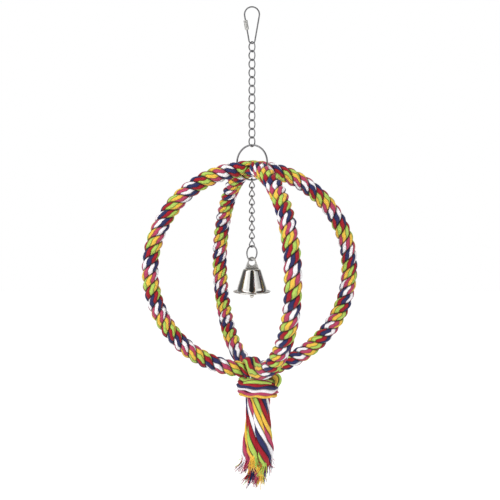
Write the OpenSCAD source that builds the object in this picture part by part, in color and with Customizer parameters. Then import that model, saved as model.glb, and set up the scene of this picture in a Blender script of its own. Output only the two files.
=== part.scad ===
/* [Hanging clip] */
// Wire of the pear clip, diameter
clip_wire_d = 1.6; // [1.2:0.1:2.0]
// Inside length of the pear loop, top to bottom
clip_inner_len = 38.6; // [34:0.2:44]
// Centre line radius of the wide end
clip_top_r = 8.3; // [7:0.1:10]
// Centre line radius of the narrow end
clip_foot_r = 3.3; // [2.8:0.1:4]
// Length of the sleeve that closes the clip
sleeve_len = 10.6; // [9:0.1:12]
// Outside diameter of the sleeve
sleeve_d = 4.4; // [3.6:0.1:5]
// Length of the gap in the wire, under the sleeve
clip_gap = 4; // [3:0.5:6]
// Distance from the sleeve to the end of the straight leg above it
sleeve_inset = 5; // [4:0.2:6.4]
// Running clearance between the sleeve and the wire, on the radius
sleeve_clearance = 0.1; // [0.05:0.05:0.2]

/* [Chain] */
// Wire of the chain links, diameter
link_wire_d = 1.4; // [1.1:0.1:1.6]
// Outside width of a link
link_w = 8; // [7.6:0.1:9]
// Inside length of a link
link_inner_len = 9.7; // [9:0.1:11]
// Twist of a link from its lower bow to its upper bow, degrees
link_twist = 90; // [70:5:100]
// Turn of the upper links seen from above, degrees
upper_turn = 0; // [-15:5:15]
// Turn of the lower links seen from above, degrees
lower_turn = -60; // [-75:5:-45]
// Play where one link hangs in the next
seat_gap = 0.1; // [0.05:0.05:0.3]
// Play where the first link hangs askew in the foot of the clip
foot_gap = 0.4; // [0.35:0.05:0.6]

/* [Rope ring] */
// Wire of the steel ring round the crossing, diameter
ring_wire_d = 2; // [1.6:0.1:2.4]
// Inside diameter of the ring
ring_inner_d = 37.4; // [37:0.2:42]
// Turn of the ring seen from above, degrees
ring_turn = -30; // [-40:5:-20]

/* [Rope hoops] */
// Diameter of a hoop at the middle of its rope
hoop_d = 231; // [180:1:260]
// Rope diameter
rope_d = 19; // [16:0.5:20]
// Turn of the wide hoop seen from above, degrees
hoop_a_turn = 9; // [5:1:15]
// Angle between the two hoops, degrees
hoop_angle = 101.8; // [90:0.2:104]
// Steel wire inside the rope, diameter
core_d = 3.5; // [2.5:0.5:4]
// Distance of the steel wire from the middle of the rope
core_offset = 2.4; // [2.2:0.1:3]
// Gap between the halved ropes where they cross
lap_gap = 0.3; // [0.2:0.1:0.6]

/* [Knot and tassel] */
// Distance of the knot to the right of the middle of the hoops
knot_offset = 7; // [0:0.5:9]
// Outside diameter of the wrap round the knot
wrap_d = 49; // [44:1:56]
// Height of the wrap
wrap_h = 20.5; // [18:0.5:24]
// Diameter of one unlaid rope strand at the knot
strand_d = 6.6; // [5:0.1:7]
// Length of the tassel below the wrap
tassel_len = 105; // [70:1:120]
// Widest diameter of the tassel
tassel_d = 43; // [38:1:48]
// Twist of the tassel strands over their length, degrees
tassel_twist = 70; // [0:5:90]
// Gap between soft pieces
soft_gap = 0.3; // [0.2:0.1:0.5]

/* [Bell] */
// Wire of the ring that carries the bell, diameter
bell_ring_wire_d = 1.6; // [1.2:0.1:1.8]
// Outside diameter of the ring that carries the bell
bell_ring_d = 18.4; // [17:0.1:20]
// Turn of the bell ring seen from above, degrees
bell_ring_turn = 47; // [42:1:60]
// Diameter of the bell at its mouth
bell_mouth_d = 42.8; // [40:0.2:48]
// Diameter of the bell where the flare starts
bell_waist_d = 33.2; // [31:0.2:35]
// Diameter of the bell at its shoulder
bell_shoulder_d = 21; // [19:0.2:23]
// Height of the bell cup
bell_h = 27.4; // [26:0.2:30]
// Height of the flare above the mouth
bell_flare_h = 5.2; // [4:0.2:6]
// Wall of the bell cup
bell_wall = 0.9; // [0.7:0.1:1.2]
// Diameter of the rolled lip
bell_lip_d = 2; // [1.8:0.1:2.4]
// Thickness of the hanging tab
tab_t = 1; // [0.8:0.1:1.2]
// Width of the tab at its foot
tab_foot_w = 15.6; // [14:0.2:17]
// Width of the tab at its rounded top
tab_top_w = 9; // [8.6:0.2:10]
// Height of the tab above the bell
tab_h = 13.8; // [12.6:0.2:16]
// Diameter of the hole in the tab
tab_hole_d = 6.6; // [6:0.2:7]
// Metal left above the hole in the tab
tab_roof = 3.4; // [2.4:0.1:4]
// Diameter of the clapper rod
clapper_rod_d = 1.4; // [1:0.1:1.8]
// Diameter of the clapper ball
clapper_ball_d = 5; // [4:0.2:6]
// Length of the clapper, from its pivot to the middle of the ball
clapper_len = 28; // [26:0.2:32]

/* [Hidden] */
$fn = 64;

steel = "silver";
nickel = "gainsboro";
rope_colours = ["yellowgreen", "gold", "crimson", "white", "midnightblue", "firebrick"];

// Links between the clip and the rope ring, and between that ring and the bell ring
upper_links = 12;
lower_links = 8;

// Steps round a ring or hoop where it is shown as a mesh
ring_steps = 180;

// Levels, from the inside top of the clip's loop at zero down to the bell
link_pitch = link_inner_len - seat_gap;
clip_floor = -clip_inner_len;
chain_top = clip_floor + foot_gap;
ring_ceiling = chain_top - upper_links * link_pitch;
ring_r = (ring_inner_d + ring_wire_d) / 2;
ring_z = ring_ceiling + ring_wire_d / 2 - ring_r;
ring_floor = ring_z - ring_inner_d / 2;
rope_r = rope_d / 2;
hoop_r = hoop_d / 2;
// The links' wire lies between the ring and the ropes
rope_play = 0.8;
hoop_z = ring_floor + seat_gap + link_wire_d + rope_play + rope_r - hoop_r;
hoop_b_turn = hoop_a_turn + hoop_angle;
bell_ring_r = (bell_ring_d - bell_ring_wire_d) / 2;
bell_ring_ceiling = ring_floor - lower_links * link_pitch + seat_gap;
bell_ring_z = bell_ring_ceiling + bell_ring_wire_d / 2 - bell_ring_r;
bell_ring_floor = bell_ring_z - bell_ring_r + bell_ring_wire_d / 2;

// Pear outline: the two legs touch both end bows
clip_top_z = clip_wire_d / 2 - clip_top_r;
clip_foot_z = clip_floor - clip_wire_d / 2 + clip_foot_r;
clip_drop = clip_top_z - clip_foot_z;
clip_lean = asin((clip_top_r - clip_foot_r) / clip_drop);

// Twisted links: rings of points round a closed oval
link_arc_steps = 7;
link_leg_steps = 4;
wire_sides = 8;
clip_wire_sides = 12;
top_bow_steps = 16;
foot_bow_steps = 10;

// Wrap and tassel
strand_r = strand_d / 2;
inner_strand_share = 1.45;
outer_strand_share = 3.3;
neck_r = strand_r * (1 + outer_strand_share);
core_top_rise_share = 0.35;
core_plate = 2.4;
knot_z = hoop_z - hoop_r - rope_r - soft_gap - core_plate;
wrap_z = knot_z + core_plate - soft_gap;
wrap_corner_r = 4.5;
strand_steps = 12;
strand_sides = 8;
outer_len_shares = [0.88, 0.84, 0.9, 0.86, 0.82, 0.89, 0.85, 0.87];
// Where the tassel starts to spread, and where it is widest, as shares of its length
spread_start_share = 0.3;
widest_share = 0.76;
tip_share = 0.86;
tip_r_share = 0.45;

// Bell
tab_hole_top = bell_ring_floor + seat_gap;
tab_hole_z = tab_hole_top - tab_hole_d / 2;
bell_top_z = tab_hole_top + tab_roof - tab_h;
bell_shoulder_r = 3;
bell_arc_steps = 6;
tang_w = 4.4;
tang_fit = 0.1;
ear_w = 6.4;
ear_h = 4.6;
tang_hole_d = 2.4;
tang_hole_drop = 2.1;
tang_hole_z = bell_top_z - bell_wall - tang_hole_drop;
clapper_eye_wire_d = 0.9;
clapper_eye_r = 1.7;
// The inside of the eye rests on both edges of the hole's floor
clapper_eye_inner_r = clapper_eye_r - clapper_eye_wire_d / 2;
clapper_eye_z = tang_hole_z - tang_hole_d / 2 + seat_gap
    - sqrt(pow(clapper_eye_inner_r, 2) - pow(tab_t / 2, 2));
clapper_ball_z = clapper_eye_z + clapper_eye_r - clapper_len;
cut_over = 1;

function lerp(a, b, t) = a + (b - a) * t;
function smooth(t) = t * t * (3 - 2 * t);
function unit(v) = v / norm(v);
function turned(p, a) = [p[0] * cos(a) - p[1] * sin(a), p[0] * sin(a) + p[1] * cos(a), p[2]];

// A tube from rings of points: closed joins the last ring to the first
module ring_mesh(rings, closed) {
    n = len(rings);
    m = len(rings[0]);
    last = closed ? n - 1 : n - 2;
    sides = [for (i = [0:last]) for (j = [0:m - 1])
        let (a = i * m + j, b = i * m + (j + 1) % m)
        let (c = ((i + 1) % n) * m + (j + 1) % m, d = ((i + 1) % n) * m + j)
        each [[a, b, c], [a, c, d]]];
    caps = closed ? [] : [[for (j = [m - 1:-1:0]) j], [for (j = [0:m - 1]) (n - 1) * m + j]];
    polyhedron(points = [for (r = rings) each r], faces = concat(sides, caps), convexity = 6);
}

// One ring of points round a centre line point, square to its direction
function ring_at(p, along, side, r, sides) =
    let (t = unit(along), e = unit(side - (side * t) * t), f = cross(t, e))
    [for (j = [0:sides - 1]) p + r * (cos(360 * j / sides) * f + sin(360 * j / sides) * e)];

// Flat oval of a link: distance from the middle line, and height
function oval_points(half_w, reach) = concat(
    [for (i = [0:link_arc_steps])
        let (a = 180 * i / link_arc_steps)
        [half_w * cos(a), reach - half_w + half_w * sin(a)]],
    [for (i = [1:link_leg_steps - 1])
        [-half_w, lerp(reach - half_w, half_w - reach, i / link_leg_steps)]],
    [for (i = [0:link_arc_steps])
        let (a = 180 + 180 * i / link_arc_steps)
        [half_w * cos(a), half_w - reach + half_w * sin(a)]],
    [for (i = [1:link_leg_steps - 1])
        [half_w, lerp(half_w - reach, reach - half_w, i / link_leg_steps)]]);

// Turn of the link's plane at a height: level at both bows, fastest half way
function twist_at(z, reach, twist) =
    let (t = (z + reach) / (2 * reach))
    lerp(twist / 2, -twist / 2, smooth(t));

// A curb link that hangs with the inside of its upper bow at zero
module twisted_link() {
    half_w = (link_w - link_wire_d) / 2;
    reach = (link_inner_len + link_wire_d) / 2;
    flat = oval_points(half_w, reach);
    count = len(flat);
    line = [for (p = flat) turned([p[0], 0, p[1]], twist_at(p[1], reach, link_twist))];
    rings = [for (i = [0:count - 1])
        let (along = line[(i + 1) % count] - line[(i + count - 1) % count])
        let (side = turned([0, 1, 0], twist_at(flat[i][1], reach, link_twist)))
        ring_at(line[i], along, side, link_wire_d / 2, wire_sides)];
    translate([0, 0, -link_inner_len / 2]) ring_mesh(rings, true);
}

module upper_link(i) {
    color(steel)
    translate([0, 0, chain_top - (i - 1) * link_pitch])
    rotate([0, 0, upper_turn])
    twisted_link();
}

module lower_link(i) {
    color(steel)
    translate([0, 0, ring_floor + seat_gap - (i - 1) * link_pitch])
    rotate([0, 0, lower_turn])
    twisted_link();
}

// A wire ring or a rope hoop standing upright, turned about the vertical
module upright_ring(centre_r, r, turn, z) {
    translate([0, 0, z])
    rotate([90, 0, turn])
    rotate_extrude($fn = ring_steps)
    translate([centre_r, 0])
    circle(r);
}

// Stands on the clip's left leg: z runs down the leg from the wide bow
module on_left_leg() {
    translate([-clip_top_r * cos(clip_lean), 0, clip_top_z - clip_top_r * sin(clip_lean)])
    rotate([0, 180 - clip_lean, 0])
    children();
}

// A point on the left leg, this far down from the wide bow
function left_leg_point(down) =
    [-clip_top_r * cos(clip_lean) + down * sin(clip_lean),
     0,
     clip_top_z - clip_top_r * sin(clip_lean) - down * cos(clip_lean)];

// A bow in the plane of the clip: places on it, each with the way that the wire runs there
function bow(r, z, from, to, steps) =
    [for (i = [0:steps])
        let (a = lerp(from, to, i / steps))
        [[r * cos(a), 0, z + r * sin(a)], [-sin(a), 0, cos(a)]]];

// The wire runs from under the sleeve down, round the foot, up and over to the sleeve again
module clip_wire() {
    stub_len = sleeve_inset + (sleeve_len - clip_gap) / 2;
    down_leg = [sin(clip_lean), 0, -cos(clip_lean)];
    line = concat(
        [[left_leg_point(stub_len + clip_gap), down_leg]],
        bow(clip_foot_r, clip_foot_z, 180 + clip_lean, 360 - clip_lean, foot_bow_steps),
        bow(clip_top_r, clip_top_z, -clip_lean, 180 + clip_lean, top_bow_steps),
        [[left_leg_point(stub_len), down_leg]]);
    rings = [for (s = line) ring_at(s[0], s[1], [0, 1, 0], clip_wire_d / 2, clip_wire_sides)];
    color(steel) ring_mesh(rings, false);
}

// Grip grooves and chamfers are turned into the sleeve
module clip_sleeve() {
    bore_r = clip_wire_d / 2 + sleeve_clearance;
    outer_r = sleeve_d / 2;
    chamfer = (outer_r - bore_r) / 3;
    groove_count = 3;
    color(steel)
    on_left_leg()
    translate([0, 0, sleeve_inset])
    difference() {
        rotate_extrude()
        polygon([
            [bore_r, 0],
            [outer_r - chamfer, 0],
            [outer_r, chamfer],
            [outer_r, sleeve_len - chamfer],
            [outer_r - chamfer, sleeve_len],
            [bore_r, sleeve_len]]);
        for (i = [1:groove_count])
            translate([0, 0, sleeve_len * i / (groove_count + 1) - chamfer / 2])
            difference() {
                cylinder(r = outer_r + cut_over, h = chamfer);
                translate([0, 0, -cut_over])
                cylinder(r = outer_r - chamfer, h = chamfer + 2 * cut_over);
            }
    }
}

module crossing_ring() {
    color(steel) upright_ring(ring_r, ring_wire_d / 2, ring_turn, ring_z);
}

// The ropes cross at one level: the wide hoop keeps its outer half there
module hoop_a_rope() {
    color(rope_colours[0])
    difference() {
        upright_ring(hoop_r, rope_r, hoop_a_turn, hoop_z);
        intersection() {
            upright_ring(hoop_r, rope_r + lap_gap, hoop_b_turn, hoop_z);
            translate([0, 0, hoop_z]) sphere(hoop_r + lap_gap / 2);
        }
        upright_ring(hoop_r + core_offset, core_d / 2, hoop_a_turn, hoop_z);
    }
}

// The other hoop keeps its inner half where it crosses the wide one
module hoop_b_rope() {
    color(rope_colours[1])
    difference() {
        upright_ring(hoop_r, rope_r, hoop_b_turn, hoop_z);
        difference() {
            upright_ring(hoop_r, rope_r + lap_gap, hoop_a_turn, hoop_z);
            translate([0, 0, hoop_z]) sphere(hoop_r - lap_gap / 2);
        }
        upright_ring(hoop_r - core_offset, core_d / 2, hoop_b_turn, hoop_z);
    }
}

module hoop_a_core() {
    color(steel) upright_ring(hoop_r + core_offset, core_d / 2, hoop_a_turn, hoop_z);
}

module hoop_b_core() {
    color(steel) upright_ring(hoop_r - core_offset, core_d / 2, hoop_b_turn, hoop_z);
}

// The rope ends turn down here, between the hoops and into the wrap
module knot_core() {
    rise = rope_d * core_top_rise_share;
    color(rope_colours[3])
    difference() {
        translate([knot_offset, 0, knot_z])
        cylinder(r = neck_r, h = core_plate + soft_gap + rise);
        upright_ring(hoop_r, rope_r + soft_gap, hoop_a_turn, hoop_z);
        upright_ring(hoop_r, rope_r + soft_gap + lap_gap / 2, hoop_b_turn, hoop_z);
    }
}

// One flat turn of strand round the neck of the tassel
module knot_wrap() {
    wrap_inner_r = neck_r + soft_gap;
    section_w = wrap_d / 2 - wrap_inner_r;
    round_r = min(wrap_corner_r, section_w / 2.1);
    color(rope_colours[4])
    translate([knot_offset, 0, wrap_z - wrap_h])
    rotate_extrude()
    translate([wrap_inner_r, 0])
    union() {
        translate([round_r, 0]) square([section_w - 2 * round_r, wrap_h]);
        translate([0, round_r]) square([section_w, wrap_h - 2 * round_r]);
        for (x = [round_r, section_w - round_r])
            for (y = [round_r, wrap_h - round_r])
                translate([x, y]) circle(round_r);
    }
}

// How far the tassel has spread at a share of its length
function spread_at(t) =
    let (most = tassel_d / 2 / neck_r)
    t < spread_start_share ? 1
    : t < widest_share
        ? lerp(1, most, smooth((t - spread_start_share) / (widest_share - spread_start_share)))
        : most;

// One hanging strand: it starts at a place in the knot, twists, spreads and tapers to a tip
module tassel_strand(start_r, start_turn, len_share) {
    length = wrap_h - core_plate + soft_gap + tassel_len;
    rings = [for (i = [0:strand_steps])
        let (t = len_share * i / strand_steps)
        let (grow = spread_at(t))
        let (tip = max(0, (i / strand_steps - tip_share) / (1 - tip_share)))
        let (r = strand_r * grow * lerp(1, tip_r_share, tip * tip))
        let (a = start_turn + tassel_twist * t)
        let (x = knot_offset + start_r * grow * cos(a))
        let (p = [x, start_r * grow * sin(a), knot_z - t * length])
        ring_at(p, [0, 0, -1], [cos(a), sin(a), 0], r, strand_sides)];
    ring_mesh(rings, false);
}

// The three strands of one rope end
module tassel_end(k) {
    quarter = 90 * k - 45;
    color(rope_colours[k % len(rope_colours)])
    union() {
        tassel_strand(strand_r * inner_strand_share, quarter, 1);
        for (side = [0, 1])
            tassel_strand(strand_r * outer_strand_share, quarter + 22.5 * (2 * side - 1),
                outer_len_shares[2 * (k - 1) + side]);
    }
}

module bell_ring() {
    color(nickel) upright_ring(bell_ring_r, bell_ring_wire_d / 2, bell_ring_turn, bell_ring_z);
}

// Outline of the bell, from the middle of its top down to its mouth, drawn inward by inset
function bell_side(inset) =
    let (lean = atan((bell_waist_d - bell_shoulder_d) / 2 / (bell_h - bell_flare_h)))
    let (round_r = bell_shoulder_r - inset)
    let (corner_r = bell_shoulder_d / 2 - bell_shoulder_r)
    let (flare_w = (bell_mouth_d - bell_waist_d) / 2)
    concat(
        [[0, -inset]],
        [for (i = [0:bell_arc_steps])
            let (a = 90 - (90 - lean) * i / bell_arc_steps)
            [corner_r + round_r * cos(a), -bell_shoulder_r + round_r * sin(a)]],
        [for (i = [0:bell_arc_steps])
            let (t = i / bell_arc_steps)
            [bell_waist_d / 2 - inset + flare_w * t * t,
             -(bell_h - bell_flare_h) - bell_flare_h * sin(90 * t) * (1 - bell_wall / bell_flare_h)]]);

module bell_cup() {
    outer = bell_side(0);
    inner = bell_side(bell_wall);
    count = len(inner);
    lip_z = bell_lip_d / 2 - bell_h;
    color(nickel)
    translate([0, 0, bell_top_z])
    difference() {
        union() {
            rotate_extrude()
            polygon(concat(outer, [for (i = [count - 1:-1:0]) inner[i]]));
            rotate_extrude()
            translate([(bell_mouth_d - bell_lip_d) / 2, lip_z])
            circle(bell_lip_d / 2);
        }
        translate([-tang_w / 2 - tang_fit, -tab_t / 2 - tang_fit, -bell_wall - cut_over])
        cube([tang_w + 2 * tang_fit, tab_t + 2 * tang_fit, bell_wall + 2 * cut_over]);
    }
}

// Flat outline of the tab above the bell: wide foot, round top
module tab_plate() {
    top_r = tab_top_w / 2;
    shoulder = tab_h - top_r;
    foot_h = tab_t;
    union() {
        translate([0, shoulder]) circle(top_r);
        polygon([
            [-tab_foot_w / 2, 0],
            [tab_foot_w / 2, 0],
            [tab_foot_w / 2, foot_h],
            [top_r, shoulder],
            [-top_r, shoulder],
            [-tab_foot_w / 2, foot_h]]);
    }
}

// The tang runs through the bell's slot and its ears are set wide below it
module bell_tab() {
    ear_top = -bell_wall - tang_fit;
    color(nickel)
    translate([0, tab_t / 2, bell_top_z])
    rotate([90, 0, 0])
    linear_extrude(tab_t)
    difference() {
        union() {
            translate([0, tang_fit / 2]) tab_plate();
            translate([-tang_w / 2, ear_top - ear_h]) square([tang_w, ear_h - ear_top + tang_fit]);
            translate([-ear_w / 2, ear_top - ear_h]) square([ear_w, ear_h]);
        }
        translate([0, tab_hole_z - bell_top_z]) circle(d = tab_hole_d);
        translate([0, tang_hole_z - bell_top_z]) circle(d = tang_hole_d);
    }
}

// The rod ends in an eye that hangs in the tang's small hole
module clapper_rod() {
    rod_top = clapper_eye_z - clapper_eye_r;
    rod_end = clapper_ball_z + clapper_ball_d / 2;
    color(nickel)
    union() {
        translate([0, 0, clapper_eye_z])
        rotate([90, 0, 90])
        rotate_extrude()
        translate([clapper_eye_r, 0])
        circle(clapper_eye_wire_d / 2);
        translate([0, 0, rod_end]) cylinder(d = clapper_rod_d, h = rod_top - rod_end);
    }
}

module clapper_ball() {
    color(nickel)
    translate([0, 0, clapper_ball_z])
    difference() {
        sphere(d = clapper_ball_d);
        translate([0, 0, clapper_ball_d / 2]) cylinder(d = clapper_rod_d, h = cut_over);
    }
}

// The name of a link counts from the top
function link_name(part, i) = str(part, "_link_", i < 10 ? "0" : "", i);

clip_wire();
clip_sleeve();
for (i = [1:upper_links])
    upper_link(i);
crossing_ring();
hoop_a_rope();
hoop_a_core();
hoop_b_rope();
hoop_b_core();
knot_core();
knot_wrap();
for (k = [1:4])
    tassel_end(k);
for (i = [1:lower_links])
    lower_link(i);
bell_ring();
bell_cup();
bell_tab();
clapper_rod();
clapper_ball();
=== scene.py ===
"""Looks of the hanging bird swing: steel clip and twisted chain, two laid rope hoops, knot, tassel and bell.

Every length is in metres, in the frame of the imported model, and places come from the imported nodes' boxes.
A piece is one surface or several, each a grid of rings with places round them, worked out with whole arrays.
"""

import logging
from dataclasses import dataclass
from enum import Enum

import bpy
import numpy as np
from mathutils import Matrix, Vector


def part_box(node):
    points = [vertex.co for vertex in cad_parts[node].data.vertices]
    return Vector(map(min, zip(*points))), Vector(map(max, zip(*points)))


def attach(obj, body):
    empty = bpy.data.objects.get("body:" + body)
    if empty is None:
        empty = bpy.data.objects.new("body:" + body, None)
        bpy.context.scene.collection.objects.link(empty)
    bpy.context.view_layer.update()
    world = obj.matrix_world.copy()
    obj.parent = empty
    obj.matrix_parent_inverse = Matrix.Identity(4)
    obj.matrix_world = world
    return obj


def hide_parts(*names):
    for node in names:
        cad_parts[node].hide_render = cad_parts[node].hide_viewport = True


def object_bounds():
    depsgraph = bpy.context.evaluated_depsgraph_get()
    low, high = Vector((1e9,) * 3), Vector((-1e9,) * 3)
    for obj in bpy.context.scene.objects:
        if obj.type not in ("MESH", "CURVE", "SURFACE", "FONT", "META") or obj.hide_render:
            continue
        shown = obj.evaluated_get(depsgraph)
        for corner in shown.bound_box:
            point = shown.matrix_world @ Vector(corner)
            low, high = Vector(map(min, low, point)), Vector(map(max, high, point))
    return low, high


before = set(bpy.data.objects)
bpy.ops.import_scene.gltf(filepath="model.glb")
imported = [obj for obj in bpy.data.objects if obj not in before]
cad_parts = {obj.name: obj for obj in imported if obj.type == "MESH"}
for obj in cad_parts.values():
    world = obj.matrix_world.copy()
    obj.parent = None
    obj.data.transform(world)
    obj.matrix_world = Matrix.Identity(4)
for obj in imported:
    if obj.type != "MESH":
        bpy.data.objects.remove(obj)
CAD_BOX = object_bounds()

log = logging.getLogger("bird_swing")

Array = np.ndarray
Socket = bpy.types.NodeSocket
Point = tuple[float, float, float]
ScreenColour = tuple[int, int, int]
Waves = tuple[tuple[float, tuple[float, ...]], ...]

MM = 0.001
TURN = 2 * np.pi
UP = np.array([0.0, 0.0, 1.0])
WHITE = (1, 1, 1, 1)
YARN_COLOURS = 6
# Turn of the two hoops seen from above, in degrees.
WIDE_TURN = 9.0
CROSSING_TURN = 110.8
# Values between which nearly all of a noise lies.
NOISE_SPAN = (0.25, 0.75)


def unit(vectors: Array) -> Array:
    """Vectors at length one, along the last axis."""
    return vectors / np.linalg.norm(vectors, axis=-1, keepdims=True)


def smooth(share: Array) -> Array:
    """The soft step 3t^2 - 2t^3, held at 0 below and at 1 above."""
    held = np.clip(share, 0, 1)
    return held * held * (3 - 2 * held)


def round_angles(count: int) -> Array:
    """Evenly spaced angles once round, from 0."""
    return TURN * np.arange(count) / count


def polar(radius: Array | float, angle: Array | float, level: Array | float = 0.0) -> Array:
    """Points (r cos a, r sin a, level), in the shape that the three spread to."""
    return np.stack(np.broadcast_arrays(radius * np.cos(angle), radius * np.sin(angle), level), axis=-1)


def upright(angle: Array, turn: float) -> Array:
    """Ways outward round an upright ring: up times cos a plus the level way at turn (degrees) times sin a."""
    return np.cos(angle)[:, None] * UP + np.sin(angle)[:, None] * polar(1.0, np.radians(turn))


def arc(centre: tuple[float, float], radius: float, start: float, end: float, steps: int) -> Array:
    """Points of a flat arc, from one angle in degrees to another."""
    angle = np.radians(np.linspace(start, end, steps))
    return np.stack([centre[0] + radius * np.cos(angle), centre[1] + radius * np.sin(angle)], axis=1)


def ripple(waves: Waves, *values: Array | float) -> Array:
    """The sum of size sin(rate a + rate b + ...) over waves of (size, rates), for the values a, b, ..."""
    turns = [sum(rate * value for rate, value in zip(rates, values)) for _, rates in waves]
    return sum(size * np.sin(turn) for (size, _), turn in zip(waves, turns))


def bent_lines(start: Array, bend: Array, end: Array, rings: int) -> Array:
    """Lines that bend once: s(1-t)^2 + 2bt(1-t) + et^2 for t from 0 to 1.

    Args:
        start: Their first points, as (lines, 3).
        bend: The points that they bend towards.
        end: Their last points.
        rings: Points on a line.

    Returns:
        Points as (lines, rings, 3).
    """
    t = np.linspace(0, 1, rings)[None, :, None]
    return start[:, None] * (1 - t) ** 2 + 2 * bend[:, None] * t * (1 - t) + end[:, None] * t ** 2


def linear(colour: ScreenColour) -> Point:
    """A screen colour as the linear colour that a shader takes, by the usual screen curve.

    Args:
        colour: Red, green and blue, 0 to 255.

    Returns:
        Linear red, green and blue, 0 to 1.
    """
    share = np.array(colour) / 255
    low, high = share / 12.92, ((share + 0.055) / 1.055) ** 2.4
    return tuple(float(v) for v in np.where(share < 0.04045, low, high))


class Slot(Enum):
    """Names of the record's material slots."""
    STEEL = "polished_steel"
    NICKEL = "nickel_plate"
    ROPE = "rope"


class Half(Enum):
    """Which half of its thickness a rope keeps where the hoops cross: the side of its middle line."""
    OUTER = 1
    INNER = -1


@dataclass
class Sheet:
    """Tubes of one build on grids, each closed round its places.

    Attributes:
        points: Vertices, as (tubes, rings, places, 3).
        lay: Yarn coordinates at the four corners of each face, as (tubes, bands, places, 4, 2), or None.
        crease: How deep in a crease each vertex lies, 0 to 1, as (tubes, rings, places), or None. The yarn's
            material paints shade by it.
        closed: The last ring joins the first. Otherwise both ends are closed with a fan.
    """
    points: Array
    lay: Array | None = None
    crease: Array | None = None
    closed: bool = False


def yarn_lay(colour: Array, run: Array) -> Array:
    """Yarn coordinates, given with one more ring and place than faces, spread to the corners of each face.

    Args:
        colour: Colour step at each point. Both spread to (tubes, bands + 1, places + 1).
        run: Length along the yarn at each point.

    Returns:
        Coordinates as (tubes, bands, places, 4, 2), in the order of a face's corners.
    """
    grid = np.stack(np.broadcast_arrays(colour, run), axis=-1)
    return np.stack([grid[:, :-1, :-1], grid[:, :-1, 1:], grid[:, 1:, 1:], grid[:, 1:, :-1]], axis=3)


def side_by_side(grid: Array) -> Array:
    """Strands' grids, (strands, rings, places, ...), as one tube's grid, (1, rings, all places, ...)."""
    return np.moveaxis(grid, 0, 1).reshape(1, grid.shape[1], -1, *grid.shape[3:])


def sheet_faces(sheet: Sheet, first: int) -> tuple[Array, Array, Array, Array, Array]:
    """The faces of a sheet: quads between rings, and fans over open ends.

    Args:
        sheet: The sheet.
        first: Number of the sheet's first vertex in the mesh.

    Returns:
        Vertices, crease values, loops' vertex numbers, faces' sizes, and loops' yarn coordinates.
    """
    tubes, rings, places, _ = sheet.points.shape
    bands = rings if sheet.closed else rings - 1
    lay = sheet.lay if sheet.lay is not None else np.zeros((tubes, bands, places, 4, 2))
    crease = sheet.crease if sheet.crease is not None else np.zeros((tubes, rings, places))
    place, band = np.arange(places), np.arange(bands)[:, None]
    beside = (place + 1) % places
    ring, beyond = band * places, (band + 1) % rings * places
    base = first + np.arange(tubes)[:, None] * rings * places
    quads = np.stack([ring + place, ring + beside, beyond + beside, beyond + place], axis=2)
    quads = quads[None] + base[:, :, None, None]
    points, depth = sheet.points.reshape(-1, 3), crease.reshape(-1)
    loops, sizes, coords = [quads.reshape(-1)], [np.full(quads.size // 4, 4)], [lay.reshape(-1, 2)]
    if not sheet.closed:
        hub = first + tubes * rings * places + np.arange(tubes)[:, None] * 2
        last = base + (rings - 1) * places
        fans = ((hub, base + beside, base + place, lay[:, 0, :, 1], lay[:, 0, :, 0]),
                (hub + 1, last + place, last + beside, lay[:, -1, :, 3], lay[:, -1, :, 2]))
        for middle, left, right, left_lay, right_lay in fans:
            fan = np.stack(np.broadcast_arrays(middle, left, right), axis=2)
            loops.append(fan.reshape(-1))
            sizes.append(np.full(fan.size // 3, 3))
            middle_lay = (left_lay + right_lay) / 2
            coords.append(np.stack([middle_lay, left_lay, right_lay], axis=2).reshape(-1, 2))
        points = np.concatenate([points, sheet.points[:, [0, -1]].mean(axis=2).reshape(-1, 3)])
        depth = np.concatenate([depth, np.zeros(2 * tubes)])
    return points, depth, np.concatenate(loops), np.concatenate(sizes), np.concatenate(coords)


def make_mesh(name: str, sheets: list[Sheet], sharp: float) -> bpy.types.Mesh:
    """Puts sheets into one mesh: yarn coordinates as the map "lay", creases as the attribute "crease".

    Args:
        name: Name of the mesh.
        sheets: Its surfaces.
        sharp: Edges sharper than this angle, in degrees, aren't shaded smooth.

    Returns:
        The mesh.
    """
    made = []
    count = 0
    for sheet in sheets:
        made.append(sheet_faces(sheet, count))
        count += len(made[-1][0])
    points, depth, loops, sizes, coords = (np.concatenate(part) for part in zip(*made))
    mesh = bpy.data.meshes.new(name)
    mesh.vertices.add(len(points))
    mesh.vertices.foreach_set("co", points.astype(np.float32).reshape(-1))
    mesh.loops.add(len(loops))
    mesh.loops.foreach_set("vertex_index", loops.astype(np.int32))
    mesh.polygons.add(len(sizes))
    starts = np.concatenate([[0], np.cumsum(sizes)[:-1]])
    mesh.polygons.foreach_set("loop_start", starts.astype(np.int32))
    mesh.polygons.foreach_set("use_smooth", np.ones(len(sizes), dtype=bool))
    if any(sheet.lay is not None for sheet in sheets):
        layer = mesh.uv_layers.new(name="lay")
        layer.data.foreach_set("uv", coords.astype(np.float32).reshape(-1))
    if any(sheet.crease is not None for sheet in sheets):
        mark = mesh.attributes.new("crease", "FLOAT", "POINT")
        mark.data.foreach_set("value", depth.astype(np.float32))
    mesh.update(calc_edges=True)
    mesh.validate()
    mesh.set_sharp_from_angle(angle=np.radians(sharp))
    return mesh


def add_object(name: str, data: bpy.types.ID) -> bpy.types.Object:
    """Puts a new object into the scene.

    Args:
        name: Name of the object.
        data: Its mesh, camera or lamp.

    Returns:
        The object.
    """
    made = bpy.data.objects.new(name, data)
    bpy.context.scene.collection.objects.link(made)
    return made


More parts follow.
